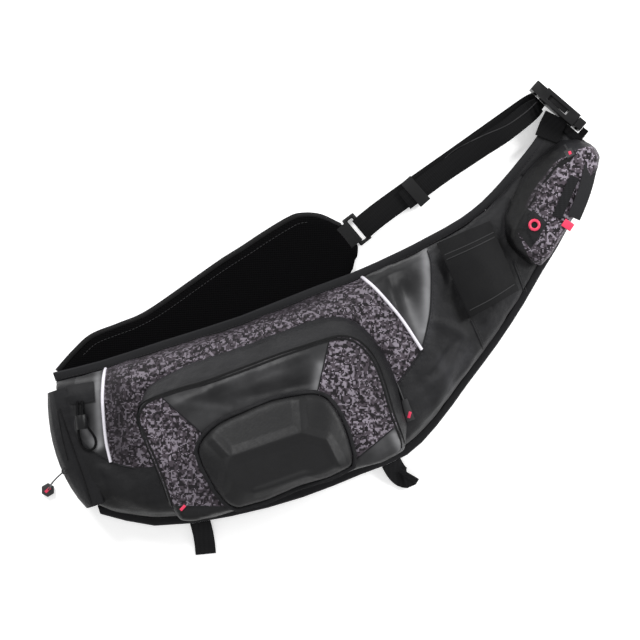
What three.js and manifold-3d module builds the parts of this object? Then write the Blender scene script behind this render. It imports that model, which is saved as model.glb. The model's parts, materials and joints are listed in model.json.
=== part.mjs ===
// A fishing tackle sling bag lying on its back, in millimetres, +Z up. Its padded wing is folded
// behind it and its shoulder strap is closed, so the pieces make one loop. +X runs along the sling.
import * as THREE from "three";
import { mergeVertices } from "three/addons/utils/BufferGeometryUtils.js";
import Module from "manifold-3d";

const wasm = await Module();
wasm.setup();

// Driving sizes of the whole sling
const slingLength = 678;
const slingWidth = 574;
const clearance = 0.3;

// Cloth, padding and edges
const clothWall = 2;
const padThickness = 14;
const wingThickness = 8;
const bodyDepth = 56;
const bindingWidth = 11;
const bindingWall = 3;
const pipingDiameter = 4;
const zipWidth = 6;
const zipThickness = 1.6;

// Pockets on the front
const mainPocketLength = 320;
const mainPocketHeight = 254;
const mainPocketDepth = 38;
const domeLength = 182;
const domeHeight = 139;
const domeRise = 22;
const domeWall = 3;
const weltWidth = 5;
const weltRise = 3;
const phonePocketWall = 2.5;
const phonePocketDepth = 22;
const sidePocketBulge = 26;
const sidePocketLift = 46;

// The pouch on the shoulder
const pouchLength = 120;
const pouchHeight = 155;
const pouchDepth = 32;

// Webbing and hard parts
const webbingWidth = 29;
const webbingThickness = 1.6;
const tailWebbingWidth = 25;
const buckleLength = 78;
const buckleThickness = 17;
const buckleWidth = 36;
const ringWire = 6;
const sliderWidth = 15;
const cordDiameter = 3;
const cordLockDiameter = 15;
const cordLockLength = 17;
const pullDiameter = 17;
const pullThickness = 5;
const eyeletDiameter = 15;
const eyeletHole = 8;
const tagLength = 13;
const tagWidth = 10;
const tagThickness = 1.5;

// Finishes
const packcloth = { color: 0x323235, roughness: 0.7 };
const airMesh = { color: 0x0c0c0e, roughness: 0.95 };
const bindingTape = { color: 0x2d2d2f, roughness: 0.85 };
const camoCloth = { color: 0x6e646e, roughness: 0.8 };
const glossCloth = { color: 0x464649, roughness: 0.35 };
const neoprene = { color: 0x1b1b1d, roughness: 0.9 };
const mouldedFoam = { color: 0x3a3a3c, roughness: 0.6 };
const webbing = { color: 0x161619, roughness: 0.8 };
const gloss = { color: 0x2b2b2e, roughness: 0.35 };
const zipTape = { color: 0x0e0e10, roughness: 0.6 };
const lightPiping = { color: 0xe1dee4, roughness: 0.4 };
const accentRed = { color: 0xe1284b, roughness: 0.5 };

const group = new THREE.Group();

// The plan: a share of the sling's length and width becomes a point about the sling's centre
function place(along, across, z = 0) {
  return new THREE.Vector3((along - 0.5) * slingLength, (across - 0.5) * slingWidth, z);
}

// The sling from its left end to its shoulder tip, a row for each section across it. The top edge
// lies against the wearer's waist and neck, the low edge is the outer one. Depth is a share of
// bodyDepth.
const slingSections = [
  { topAlong: 0.023, topAcross: 0.389, lowAlong: 0.108, lowAcross: 0.09, depth: 0.8 },
  { topAlong: 0.108, topAcross: 0.414, lowAlong: 0.205, lowAcross: 0.065, depth: 0.95 },
  { topAlong: 0.218, topAcross: 0.456, lowAlong: 0.342, lowAcross: 0.085, depth: 1 },
  { topAlong: 0.359, topAcross: 0.509, lowAlong: 0.472, lowAcross: 0.126, depth: 1 },
  { topAlong: 0.487, topAcross: 0.569, lowAlong: 0.575, lowAcross: 0.174, depth: 0.97 },
  { topAlong: 0.558, topAcross: 0.6, lowAlong: 0.657, lowAcross: 0.215, depth: 0.9 },
  { topAlong: 0.642, topAcross: 0.645, lowAlong: 0.708, lowAcross: 0.274, depth: 0.78 },
  { topAlong: 0.692, topAcross: 0.675, lowAlong: 0.766, lowAcross: 0.366, depth: 0.64 },
  { topAlong: 0.752, topAcross: 0.715, lowAlong: 0.819, lowAcross: 0.45, depth: 0.5 },
  { topAlong: 0.791, topAcross: 0.751, lowAlong: 0.865, lowAcross: 0.533, depth: 0.36 },
  { topAlong: 0.825, topAcross: 0.793, lowAlong: 0.899, lowAcross: 0.603, depth: 0.24 },
  { topAlong: 0.855, topAcross: 0.835, lowAlong: 0.926, lowAcross: 0.655, depth: 0.12 },
  { topAlong: 0.881, topAcross: 0.874, lowAlong: 0.956, lowAcross: 0.724, depth: 0 },
  { topAlong: 0.899, topAcross: 0.906, lowAlong: 0.979, lowAcross: 0.803, depth: 0 },
  { topAlong: 0.912, topAcross: 0.931, lowAlong: 0.982, lowAcross: 0.872, depth: 0 },
];
const lastSection = slingSections.length - 1;
const backPadEnd = 9;
const bodyEnd = 11;
const cavityEnd = 8.6;

// The wing from the bag's left end to its ring, whose lower edge the bag hides
const wingSections = [
  { topAlong: 0.027, topAcross: 0.387, lowAlong: 0.115, lowAcross: 0.135 },
  { topAlong: 0.092, topAcross: 0.469, lowAlong: 0.18, lowAcross: 0.19 },
  { topAlong: 0.191, topAcross: 0.517, lowAlong: 0.271, lowAcross: 0.27 },
  { topAlong: 0.271, topAcross: 0.582, lowAlong: 0.359, lowAcross: 0.358 },
  { topAlong: 0.363, topAcross: 0.655, lowAlong: 0.448, lowAcross: 0.458 },
  { topAlong: 0.442, topAcross: 0.715, lowAlong: 0.519, lowAcross: 0.546 },
  { topAlong: 0.483, topAcross: 0.728, lowAlong: 0.554, lowAcross: 0.588 },
  { topAlong: 0.54, topAcross: 0.705, lowAlong: 0.573, lowAcross: 0.653 },
];

// Profiles across a section, from its top edge to its low edge: lift is a share of the depth
const bodyProfile = [
  { across: 0, lift: 0.34 },
  { across: 0.015, lift: 0.62 },
  { across: 0.05, lift: 0.85 },
  { across: 0.12, lift: 0.97 },
  { across: 0.3, lift: 1 },
  { across: 0.55, lift: 1 },
  { across: 0.78, lift: 0.99 },
  { across: 0.9, lift: 0.93 },
  { across: 0.965, lift: 0.78 },
  { across: 0.99, lift: 0.5 },
  { across: 1, lift: 0.25 },
];
const padProfile = [
  { across: 0, lift: 0.5 },
  { across: 0.02, lift: 0.84 },
  { across: 0.06, lift: 1 },
  { across: 0.5, lift: 1 },
  { across: 0.94, lift: 1 },
  { across: 0.98, lift: 0.84 },
  { across: 1, lift: 0.5 },
];

// Closed meshes and solids
function signedVolume(geometry) {
  const points = geometry.attributes.position;
  const index = geometry.index.array;
  const corner = [0, 1, 2].map(() => new THREE.Vector3());
  let volume = 0;
  for (let i = 0; i < index.length; i += 3) {
    corner.forEach((v, k) => v.fromBufferAttribute(points, index[i + k]));
    volume += corner[0].dot(corner[1].cross(corner[2])) / 6;
  }
  return volume;
}

function closedGeometry(points, index) {
  const geometry = new THREE.BufferGeometry();
  geometry.setAttribute("position", new THREE.Float32BufferAttribute(points.flatMap((p) => p.toArray()), 3));
  geometry.setIndex(index);
  if (signedVolume(geometry) < 0) {
    geometry.setIndex(flipped(index));
  }
  return geometry;
}

function flipped(index) {
  const turned = [];
  for (let i = 0; i < index.length; i += 3) {
    turned.push(index[i], index[i + 2], index[i + 1]);
  }
  return turned;
}

function solidOf(geometry) {
  const bare = geometry.clone();
  bare.deleteAttribute("normal");
  bare.deleteAttribute("uv");
  const merged = mergeVertices(bare, 1e-4);
  const mesh = new wasm.Mesh({
    numProp: 3,
    vertProperties: new Float32Array(merged.attributes.position.array),
    triVerts: new Uint32Array(merged.index.array),
  });
  return new wasm.Manifold(mesh);
}

function geometryOf(solid) {
  const mesh = solid.getMesh();
  const geometry = new THREE.BufferGeometry();
  geometry.setAttribute("position", new THREE.BufferAttribute(new Float32Array(mesh.vertProperties), 3));
  geometry.setIndex(new THREE.BufferAttribute(new Uint32Array(mesh.triVerts), 1));
  return geometry;
}

function add(name, shape, finish) {
  const geometry = shape.isBufferGeometry ? shape : geometryOf(shape);
  const flat = geometry.index ? geometry.toNonIndexed() : geometry;
  flat.computeVertexNormals();
  const mesh = new THREE.Mesh(flat, new THREE.MeshStandardMaterial({ metalness: 0, ...finish }));
  mesh.name = name;
  group.add(mesh);
  return mesh;
}

// A closed slab between a low and a high grid of points, each given by its two steps
function slab(stepsA, stepsB, low, high) {
  const points = [];
  const index = [];
  const row = stepsB + 1;
  const layer = (stepsA + 1) * row;
  for (const side of [low, high]) {
    for (let i = 0; i <= stepsA; i += 1) {
      for (let j = 0; j <= stepsB; j += 1) {
        points.push(side(i, j));
      }
    }
  }
  const at = (side, i, j) => side * layer + i * row + j;
  const quad = (a, b, c, d) => index.push(a, b, c, a, c, d);
  for (let i = 0; i < stepsA; i += 1) {
    for (let j = 0; j < stepsB; j += 1) {
      quad(at(1, i, j), at(1, i + 1, j), at(1, i + 1, j + 1), at(1, i, j + 1));
      quad(at(0, i, j), at(0, i, j + 1), at(0, i + 1, j + 1), at(0, i + 1, j));
    }
  }
  for (let i = 0; i < stepsA; i += 1) {
    quad(at(0, i, 0), at(0, i + 1, 0), at(1, i + 1, 0), at(1, i, 0));
    quad(at(1, i, stepsB), at(1, i + 1, stepsB), at(0, i + 1, stepsB), at(0, i, stepsB));
  }
  for (let j = 0; j < stepsB; j += 1) {
    quad(at(0, 0, j), at(1, 0, j), at(1, 0, j + 1), at(0, 0, j + 1));
    quad(at(1, stepsA, j), at(0, stepsA, j), at(0, stepsA, j + 1), at(1, stepsA, j + 1));
  }
  return closedGeometry(points, index);
}

// The same slab over a flat underside, which needs only the two long edges of its low grid
function flatSlab(stepsA, stepsB, low, high) {
  const points = [];
  const index = [];
  const row = stepsB + 3;
  for (let i = 0; i <= stepsA; i += 1) {
    for (let j = 0; j <= stepsB; j += 1) {
      points.push(high(i, j));
    }
    points.push(low(i, stepsB), low(i, 0));
  }
  const quad = (a, b, c, d) => index.push(a, b, c, a, c, d);
  for (let i = 0; i < stepsA; i += 1) {
    for (let j = 0; j < row; j += 1) {
      const next = (j + 1) % row;
      quad(i * row + j, (i + 1) * row + j, (i + 1) * row + next, i * row + next);
    }
  }
  for (let j = 0; j + 1 < row - 1; j += 1) {
    index.push(row - 1, j, j + 1);
    const end = stepsA * row;
    index.push(end + row - 1, end + j + 1, end + j);
  }
  return closedGeometry(points, index);
}

// A closed solid through rings of as many points each, from its lowest ring to its highest
function stack(rings) {
  const count = rings[0].length;
  const points = rings.flat();
  const index = [];
  for (let level = 0; level + 1 < rings.length; level += 1) {
    for (let i = 0; i < count; i += 1) {
      const next = (i + 1) % count;
      const a = level * count + i;
      const b = level * count + next;
      index.push(a, b, b + count, a, b + count, a + count);
    }
  }
  const cap = (level, turn) => {
    const outline = rings[level].map((p) => new THREE.Vector2(p.x, p.y));
    const faces = THREE.ShapeUtils.triangulateShape(outline, []);
    for (const [a, b, c] of faces) {
      const face = turn ? [a, c, b] : [a, b, c];
      index.push(...face.map((k) => level * count + k));
    }
  };
  const turnedLow = THREE.ShapeUtils.area(rings[0].map((p) => new THREE.Vector2(p.x, p.y))) > 0;
  cap(0, turnedLow);
  cap(rings.length - 1, !turnedLow);
  return closedGeometry(points, index);
}

// Moves each corner of a closed mesh inwards, so that its faces move by about the distance given
function shrink(geometry, distance) {
  const merged = mergeVertices(geometry.clone(), 1e-4);
  const points = merged.attributes.position;
  const index = merged.index.array;
  const normals = Array.from({ length: points.count }, () => []);
  const corner = [0, 1, 2].map(() => new THREE.Vector3());
  for (let i = 0; i < index.length; i += 3) {
    corner.forEach((v, k) => v.fromBufferAttribute(points, index[i + k]));
    const face = new THREE.Triangle(...corner).getNormal(new THREE.Vector3());
    for (let k = 0; k < 3; k += 1) {
      normals[index[i + k]].push(face.clone());
    }
  }
  for (let i = 0; i < points.count; i += 1) {
    const mean = normals[i].reduce((sum, n) => sum.add(n), new THREE.Vector3()).normalize();
    const facing = normals[i].reduce((sum, n) => sum + mean.dot(n), 0) / normals[i].length;
    const moved = new THREE.Vector3().fromBufferAttribute(points, i);
    moved.addScaledVector(mean, -distance / Math.max(0.5, facing));
    points.setXYZ(i, moved.x, moved.y, moved.z);
  }
  return merged;
}

// The highest point of some solids above a place in the plan, or the floor where they aren't
function surfaceOf(shapes) {
  const meshes = shapes.map((shape) => {
    const geometry = shape.isBufferGeometry ? shape : geometryOf(shape);
    return new THREE.Mesh(geometry, new THREE.MeshBasicMaterial({ side: THREE.DoubleSide }));
  });
  const ray = new THREE.Raycaster();
  const down = new THREE.Vector3(0, 0, -1);
  return (x, y) => {
    ray.set(new THREE.Vector3(x, y, 1000), down);
    const hits = ray.intersectObjects(meshes, false);
    return hits.length ? hits[0].point.z : 0;
  };
}

// Curves
function curveThrough(points, closed = false) {
  return new THREE.CatmullRomCurve3(points, closed, "centripetal");
}

function samples(points, steps, closed = false) {
  return curveThrough(points, closed).getPoints(steps);
}

// Moves the sides of a closed plan outline inwards, each corner along the line that halves it
function insetRing(ring, distance, z = null) {
  const outline = ring.map((p) => new THREE.Vector2(p.x, p.y));
  const turn = THREE.ShapeUtils.area(outline) > 0 ? 1 : -1;
  const count = outline.length;
  const normals = outline.map((p, i) => {
    const way = outline[(i + 1) % count].clone().sub(p).normalize();
    return new THREE.Vector2(-way.y * turn, way.x * turn);
  });
  return ring.map((p, i) => {
    const before = normals[(i + count - 1) % count];
    const after = normals[i];
    const move = distance / Math.max(0.4, 1 + before.dot(after));
    return new THREE.Vector3(p.x + (before.x + after.x) * move, p.y + (before.y + after.y) * move, z ?? p.z);
  });
}

function ringAt(ring, z) {
  return ring.map((p) => new THREE.Vector3(p.x, p.y, z));
}

function prism(outline, low, high) {
  return stack([ringAt(outline, low), ringAt(outline, high)]);
}

// A strip of even thickness along a path, flat in the plan unless a twist turns it about its path
function ribbon(path, width, thickness, steps, twist = () => 0) {
  const curve = curveThrough(path);
  const frame = (i) => {
    const point = curve.getPoint(i / steps);
    const way = curve.getTangent(i / steps).normalize();
    const side = new THREE.Vector3(-way.y, way.x, 0).normalize();
    const up = new THREE.Vector3().crossVectors(way, side).normalize();
    const angle = twist(i / steps);
    side.applyAxisAngle(way, angle);
    up.applyAxisAngle(way, angle);
    return { point, side, up };
  };
  const edge = (lift) => (i, j) => {
    const { point, side, up } = frame(i);
    return point.clone().addScaledVector(side, (j - 0.5) * width).addScaledVector(up, lift * thickness);
  };
  return slab(steps, 1, edge(-0.5), edge(0.5));
}

// A strip that lies on a surface along a plan path
function layer(path, width, thickness, steps, surface, lift = clearance) {
  const curve = curveThrough(path);
  const edge = (rise) => (i, j) => {
    const point = curve.getPoint(i / steps);
    const way = curve.getTangent(i / steps);
    const side = new THREE.Vector3(-way.y, way.x, 0).normalize();
    point.addScaledVector(side, (j / 2 - 0.5) * width);
    point.z = surface(point.x, point.y) + lift + rise;
    return point;
  };
  return slab(steps, 2, edge(0), edge(thickness));
}

// A four-cornered patch that lies on a surface, its corners in turn round it
function patch(corners, steps, surface, low, high) {
  const [a, b, c, d] = corners;
  const at = (lift) => (i, j) => {
    const s = i / steps;
    const t = j / steps;
    const point = a.clone().lerp(b, s).lerp(d.clone().lerp(c, s), t);
    point.z = surface(point.x, point.y) + lift(s, t);
    return point;
  };
  return slab(steps, steps, at(low), at(high));
}

function tube(path, diameter, sides, steps, closed = false) {
  const round = new THREE.Shape();
  round.absarc(0, 0, diameter / 2, 0, Math.PI * 2);
  return new THREE.ExtrudeGeometry(round, {
    extrudePath: curveThrough(path, closed),
    steps,
    curveSegments: sides / 2,
  });
}

// The sling's own curves, by section number
const topEdge = curveThrough(slingSections.map((s) => place(s.topAlong, s.topAcross, s.depth)));
const lowEdge = curveThrough(slingSections.map((s) => place(s.lowAlong, s.lowAcross, s.depth)));

function slingPoint(section, share, inset = 0) {
  const top = topEdge.getPoint(section / lastSection);
  const low = lowEdge.getPoint(section / lastSection);
  const way = low.clone().sub(top).setZ(0).normalize();
  top.addScaledVector(way, inset);
  low.addScaledVector(way, -inset);
  return top.lerp(low, share);
}

// A band of the sling between two sections, with a flat underside and a profile across it
function slingBand({ from, to, inset, base, depth, profile, trim = 0 }) {
  const steps = Math.round((to - from) * 2);
  const section = (i) => from + ((to - from) * i) / steps;
  const low = (i, j) => slingPoint(section(i), profile[j].across, inset).setZ(base);
  const high = (i, j) => {
    const point = slingPoint(section(i), profile[j].across, inset);
    return point.setZ(Math.max(base + 1, base - trim + profile[j].lift * depth(point.z)));
  };
  return flatSlab(steps, profile.length - 1, low, high);
}

// Pads: the wing on the floor, and the back pressed down over it
function wingPad() {
  const top = curveThrough(wingSections.map((s) => place(s.topAlong, s.topAcross)));
  const low = curveThrough(wingSections.map((s) => place(s.lowAlong, s.lowAcross)));
  const steps = (wingSections.length - 1) * 2;
  const at = (i, j) => top.getPoint(i / steps).lerp(low.getPoint(i / steps), padProfile[j].across);
  const high = (i, j) => at(i, j).setZ(padProfile[j].lift * wingThickness);
  return flatSlab(steps, padProfile.length - 1, at, high);
}

const padInset = bindingWall + clearance;
const padDepth = () => padThickness;
const wing = wingPad();
const wingSolid = solidOf(wing);
const wingRoom = solidOf(shrink(wing, -clearance));
const backPadShape = slingBand({
  from: 0, to: backPadEnd, inset: padInset, base: 0, depth: padDepth, profile: padProfile,
});
const backPad = solidOf(backPadShape).subtract(wingRoom);
const padSpacing = slingPoint(backPadEnd, 0.5).distanceTo(slingPoint(backPadEnd + 1, 0.5));
const shoulderPad = solidOf(slingBand({
  from: backPadEnd + clearance / padSpacing, to: lastSection, inset: padInset, base: 0,
  depth: padDepth, profile: padProfile,
}));

// The main compartment: a shell between the outer band and the room inside it
const bodyBase = padThickness + clearance;
const bodyInset = bindingWidth + clearance;
const bodyHeight = (share) => Math.max(clothWall * 2, share * bodyDepth);
const bodyOuter = slingBand({
  from: 0, to: bodyEnd, inset: bodyInset, base: bodyBase, depth: bodyHeight, profile: bodyProfile,
});
const endSpacing = slingPoint(0, 0.5).distanceTo(slingPoint(1, 0.5));
const bodyCavity = slingBand({
  from: clothWall / endSpacing, to: cavityEnd, inset: bodyInset + clothWall,
  base: bodyBase + clothWall, depth: bodyHeight, profile: bodyProfile, trim: clothWall * 2,
});
const bodyOuterSolid = solidOf(bodyOuter);
const bodyRoom = solidOf(shrink(bodyOuter, -clearance));
const bodySurface = surfaceOf([bodyOuter]);

// The main zip runs along the wall behind the top edge
const mainZipFrom = 1;
const mainZipTo = 7;
const mainZipSteps = 12;
const mainZipZ = bodyBase + bodyDepth * 0.19;
function mainZipBand(width, reachOut, reachIn) {
  const at = (side) => (i, j) => {
    const section = mainZipFrom + ((mainZipTo - mainZipFrom) * i) / mainZipSteps;
    const edge = slingPoint(section, 0, bodyInset + (j === 0 ? -reachOut : reachIn));
    return edge.setZ(mainZipZ + (side * width) / 2);
  };
  return solidOf(slab(mainZipSteps, 1, at(-1), at(1)));
}

// Outlines of the panels let into the front, each corner by section and share across the sling
const frontPanels = [
  {
    name: "front_camo_panel", finish: camoCloth,
    corners: [[1.15, 0.1], [2.5, 0.1], [4.95, 0.1], [5.6, 0.24], [6.05, 0.44], [5.7, 0.6],
      [4, 0.62], [2, 0.66], [0.55, 0.6], [0.75, 0.34]],
  },
  {
    name: "gloss_panel_left", finish: glossCloth,
    corners: [[0.6, 0.1], [1.05, 0.1], [0.68, 0.34], [0.48, 0.56], [0.3, 0.5], [0.4, 0.28]],
  },
  {
    name: "gloss_panel_right", finish: glossCloth,
    corners: [[5.1, 0.1], [6.95, 0.1], [6.85, 0.26], [6.4, 0.44], [6.18, 0.44], [5.75, 0.24]],
  },
];
const panelSteps = 3;

function panelOutline(panel) {
  const ring = [];
  const count = panel.corners.length;
  panel.corners.forEach(([section, share], i) => {
    const [nextSection, nextShare] = panel.corners[(i + 1) % count];
    for (let k = 0; k < panelSteps; k += 1) {
      const mix = k / panelSteps;
      const across = share + (nextShare - share) * mix;
      ring.push(slingPoint(section + (nextSection - section) * mix, across, bodyInset));
    }
  });
  return ring;
}

// A pocket that stands on a surface: a foot ring, a face ring and a crowned face. The gusset leans
// in part of the way up, and the face rises to its crown in two steps.
const gussetLean = 0.35;
const gussetLeanHeight = 0.55;
const crownSteps = [{ inward: 0.06, rise: 0.35 }, { inward: 0.4, rise: 1 }];

function rowsRing(rows, centre, length, height, alongKey, acrossKey, z, perRow = 2) {
  const corners = rows.map((row) => new THREE.Vector3(
    centre.x + (row[alongKey] - 0.5) * length,
    centre.y + (row[acrossKey] - 0.5) * height,
    z,
  ));
  return samples(corners, rows.length * perRow, true).slice(0, -1);
}

function crownedPocket({ rows, centre, length, height, footZ, gussetZ, faceZ, crown, inset }) {
  const perRow = inset > 0 ? 1 : 2;
  const ring = (along, across, z) => rowsRing(rows, centre, length, height, along, across, z, perRow);
  const foot = insetRing(ring("footAlong", "footAcross", footZ), inset);
  const face = insetRing(ring("faceAlong", "faceAcross", faceZ), inset);
  const leanZ = gussetZ + (faceZ - gussetZ) * gussetLeanHeight;
  const middle = foot.map((p, i) => p.clone().lerp(face[i], gussetLean).setZ(leanZ));
  const heart = face.reduce((sum, p) => sum.add(p), new THREE.Vector3()).divideScalar(face.length);
  const crowned = crownSteps.map(({ inward, rise }) => (
    face.map((p) => p.clone().lerp(heart, inward).setZ(faceZ + crown * rise))
  ));
  return stack([foot, ringAt(foot, gussetZ), middle, face, ...crowned]);
}

// The main pocket: foot on the bag's front, face at its zip line, as shares of its size
const mainPocketRows = [
  { footAlong: 0, footAcross: 0.51, faceAlong: 0.012, faceAcross: 0.5 },
  { footAlong: 0.01, footAcross: 0.59, faceAlong: 0.022, faceAcross: 0.58 },
  { footAlong: 0.04, footAcross: 0.67, faceAlong: 0.06, faceAcross: 0.62 },
  { footAlong: 0.16, footAcross: 0.76, faceAlong: 0.17, faceAcross: 0.67 },
  { footAlong: 0.38, footAcross: 0.86, faceAlong: 0.39, faceAcross: 0.76 },
  { footAlong: 0.6, footAcross: 0.96, faceAlong: 0.61, faceAcross: 0.86 },
  { footAlong: 0.73, footAcross: 1, faceAlong: 0.73, faceAcross: 0.91 },
  { footAlong: 0.81, footAcross: 0.98, faceAlong: 0.79, faceAcross: 0.9 },
  { footAlong: 0.88, footAcross: 0.9, faceAlong: 0.86, faceAcross: 0.83 },
  { footAlong: 0.95, footAcross: 0.75, faceAlong: 0.91, faceAcross: 0.69 },
  { footAlong: 0.98, footAcross: 0.63, faceAlong: 0.94, faceAcross: 0.57 },
  { footAlong: 1, footAcross: 0.36, faceAlong: 0.985, faceAcross: 0.36 },
  { footAlong: 0.81, footAcross: 0.27, faceAlong: 0.81, faceAcross: 0.28 },
  { footAlong: 0.62, footAcross: 0.18, faceAlong: 0.62, faceAcross: 0.19 },
  { footAlong: 0.28, footAcross: 0.045, faceAlong: 0.28, faceAcross: 0.06 },
  { footAlong: 0.16, footAcross: 0.03, faceAlong: 0.17, faceAcross: 0.045 },
  { footAlong: 0.08, footAcross: 0.23, faceAlong: 0.092, faceAcross: 0.23 },
];
const mainPocketCentre = place(0.415, 0.29);
const mainPocketFace = bodyBase + bodyDepth + mainPocketDepth;
const mainPocketCrown = 5;

function mainPocketForm(inset) {
  return crownedPocket({
    rows: mainPocketRows, centre: mainPocketCentre, length: mainPocketLength, height: mainPocketHeight,
    footZ: bodyBase + bodyDepth * 0.3, gussetZ: bodyBase + bodyDepth * 0.9,
    faceZ: mainPocketFace - inset, crown: mainPocketCrown, inset,
  });
}

const mainPocketOuter = mainPocketForm(0);
const mainPocketOuterSolid = solidOf(mainPocketOuter);
const zipInset = zipWidth / 2 + clothWall * 1.75;

function pocketZipPath(rows, centre, length, height, firstRow, lastRow, surface) {
  const face = insetRing(rowsRing(rows, centre, length, height, "faceAlong", "faceAcross", 0), zipInset);
  return face.slice(firstRow * 2, lastRow * 2 + 1).map((p) => p.setZ(surface(p.x, p.y)));
}

const mainPocketRoom = solidOf(shrink(mainPocketOuter, -clearance));
const mainPocketTop = surfaceOf([mainPocketOuter]);
const mainPocketZipPath = pocketZipPath(
  mainPocketRows, mainPocketCentre, mainPocketLength, mainPocketHeight, 1, 11, mainPocketTop,
);

function zipSlot(path, reach) {
  return solidOf(ribbon(path, zipWidth + clearance * 2, reach * 2, path.length));
}

function zipStrip(path) {
  const lowered = path.map((p) => p.clone().setZ(p.z - zipThickness / 2));
  const ends = [lowered[0], lowered[lowered.length - 1]];
  ends[0].lerp(lowered[1], (clearance * 2) / ends[0].distanceTo(lowered[1]));
  ends[1].lerp(lowered.at(-2), (clearance * 2) / ends[1].distanceTo(lowered.at(-2)));
  return ribbon(lowered, zipWidth, zipThickness, path.length);
}

const slotReach = clothWall * 2.5;
const mainPocketCavity = solidOf(mainPocketForm(clothWall)).subtract(
  solidOf(shrink(bodyOuter, -clearance - clothWall)),
);
const mainPocket = mainPocketOuterSolid
  .subtract(bodyRoom)
  .subtract(mainPocketCavity)
  .subtract(zipSlot(mainPocketZipPath, slotReach));

// The moulded dome: a ring at its foot and a plateau with flat facets up to it
const domeRows = [
  { footAlong: 0, footAcross: 0.51, faceAlong: 0.19, faceAcross: 0.41 },
  { footAlong: 0.04, footAcross: 0.63, faceAlong: 0.21, faceAcross: 0.47 },
  { footAlong: 0.14, footAcross: 0.75, faceAlong: 0.25, faceAcross: 0.49 },
  { footAlong: 0.29, footAcross: 0.84, faceAlong: 0.35, faceAcross: 0.53 },
  { footAlong: 0.47, footAcross: 0.94, faceAlong: 0.5, faceAcross: 0.6 },
  { footAlong: 0.66, footAcross: 0.99, faceAlong: 0.66, faceAcross: 0.67 },
  { footAlong: 0.76, footAcross: 1, faceAlong: 0.71, faceAcross: 0.67 },
  { footAlong: 0.84, footAcross: 0.96, faceAlong: 0.77, faceAcross: 0.64 },
  { footAlong: 0.91, footAcross: 0.84, faceAlong: 0.83, faceAcross: 0.61 },
  { footAlong: 0.96, footAcross: 0.7, faceAlong: 0.86, faceAcross: 0.54 },
  { footAlong: 0.99, footAcross: 0.57, faceAlong: 0.88, faceAcross: 0.46 },
  { footAlong: 1, footAcross: 0.39, faceAlong: 0.89, faceAcross: 0.38 },
  { footAlong: 0.66, footAcross: 0.22, faceAlong: 0.68, faceAcross: 0.3 },
  { footAlong: 0.26, footAcross: 0.03, faceAlong: 0.37, faceAcross: 0.17 },
  { footAlong: 0.16, footAcross: 0.11, faceAlong: 0.28, faceAcross: 0.2 },
  { footAlong: 0.08, footAcross: 0.27, faceAlong: 0.2, faceAcross: 0.28 },
];
const domeCentre = place(0.422, 0.226);
const domeFoot = mainPocketFace - 6;
const domeSkirt = 0.35;
const domeShoulder = { inward: 0.12, rise: 0.25 };

function domeForm(inset) {
  const perRow = inset > 0 ? 1 : 2;
  const ring = (along, across, z) => (
    rowsRing(domeRows, domeCentre, domeLength, domeHeight, along, across, z, perRow)
  );
  const foot = insetRing(ring("footAlong", "footAcross", domeFoot), inset);
  const plateau = ring("faceAlong", "faceAcross", 0);
  const top = mainPocketFace + mainPocketCrown + domeRise - inset;
  const skirt = mainPocketFace + mainPocketCrown + domeRise * domeSkirt - inset;
  const shoulderZ = skirt + (top - skirt) * domeShoulder.rise;
  const shoulder = foot.map((p, i) => p.clone().lerp(plateau[i], domeShoulder.inward).setZ(shoulderZ));
  return stack([foot, ringAt(foot, skirt), shoulder, ringAt(plateau, top)]);
}

const domeOuter = domeForm(0);
const domeShell = solidOf(domeOuter).subtract(solidOf(domeForm(domeWall))).subtract(mainPocketRoom);

function domeWelt() {
  const foot = rowsRing(domeRows, domeCentre, domeLength, domeHeight, "footAlong", "footAcross", domeFoot);
  const edge = insetRing(foot, -weltWidth);
  const top = mainPocketFace + mainPocketCrown + weltRise;
  const blank = solidOf(stack([edge, ringAt(edge, top)]));
  const room = insetRing(foot, -clearance);
  return blank.subtract(solidOf(prism(room, domeFoot - 1, top + 1))).subtract(mainPocketRoom);
}

// The phone pocket on the right of the front, open along its top
const phoneCorners = [place(0.708, 0.661), place(0.802, 0.708), place(0.855, 0.563), place(0.767, 0.504)];
const phoneSteps = 5;
const arch = (s) => Math.sin(Math.PI * s);

function phonePocket() {
  const rise = (s, t) => phonePocketDepth * (0.45 + 0.55 * arch(s) * (1 - 0.35 * t));
  const foot = () => clearance;
  const outer = patch(phoneCorners, phoneSteps, bodySurface, foot, (s, t) => clearance + rise(s, t));
  const [a, b, c, d] = phoneCorners;
  const side = phonePocketWall / a.distanceTo(b);
  const end = phonePocketWall / a.distanceTo(d);
  const corner = (s, t) => a.clone().lerp(b, s).lerp(d.clone().lerp(c, s), t);
  const inner = patch(
    [corner(side, -end), corner(1 - side, -end), corner(1 - side, 1 - end), corner(side, 1 - end)],
    phoneSteps, bodySurface,
    () => clearance + phonePocketWall,
    (s, t) => clearance + rise(s, t) - phonePocketWall,
  );
  return solidOf(outer).subtract(solidOf(inner)).subtract(bodyRoom);
}

// The side pocket bulges out of the left end, from the end's corner seam, open at its top
const sidePocketLevels = [
  { lift: 0, bulge: 0.6 },
  { lift: 0.25, bulge: 0.95 },
  { lift: 0.6, bulge: 1 },
  { lift: 0.85, bulge: 0.75 },
  { lift: 1, bulge: 0.3 },
];
const sidePocketSteps = 10;
const sidePocketMouth = 0.12;
const sidePocketEnd = 0.93;
const sidePocketTuck = 12;

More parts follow.
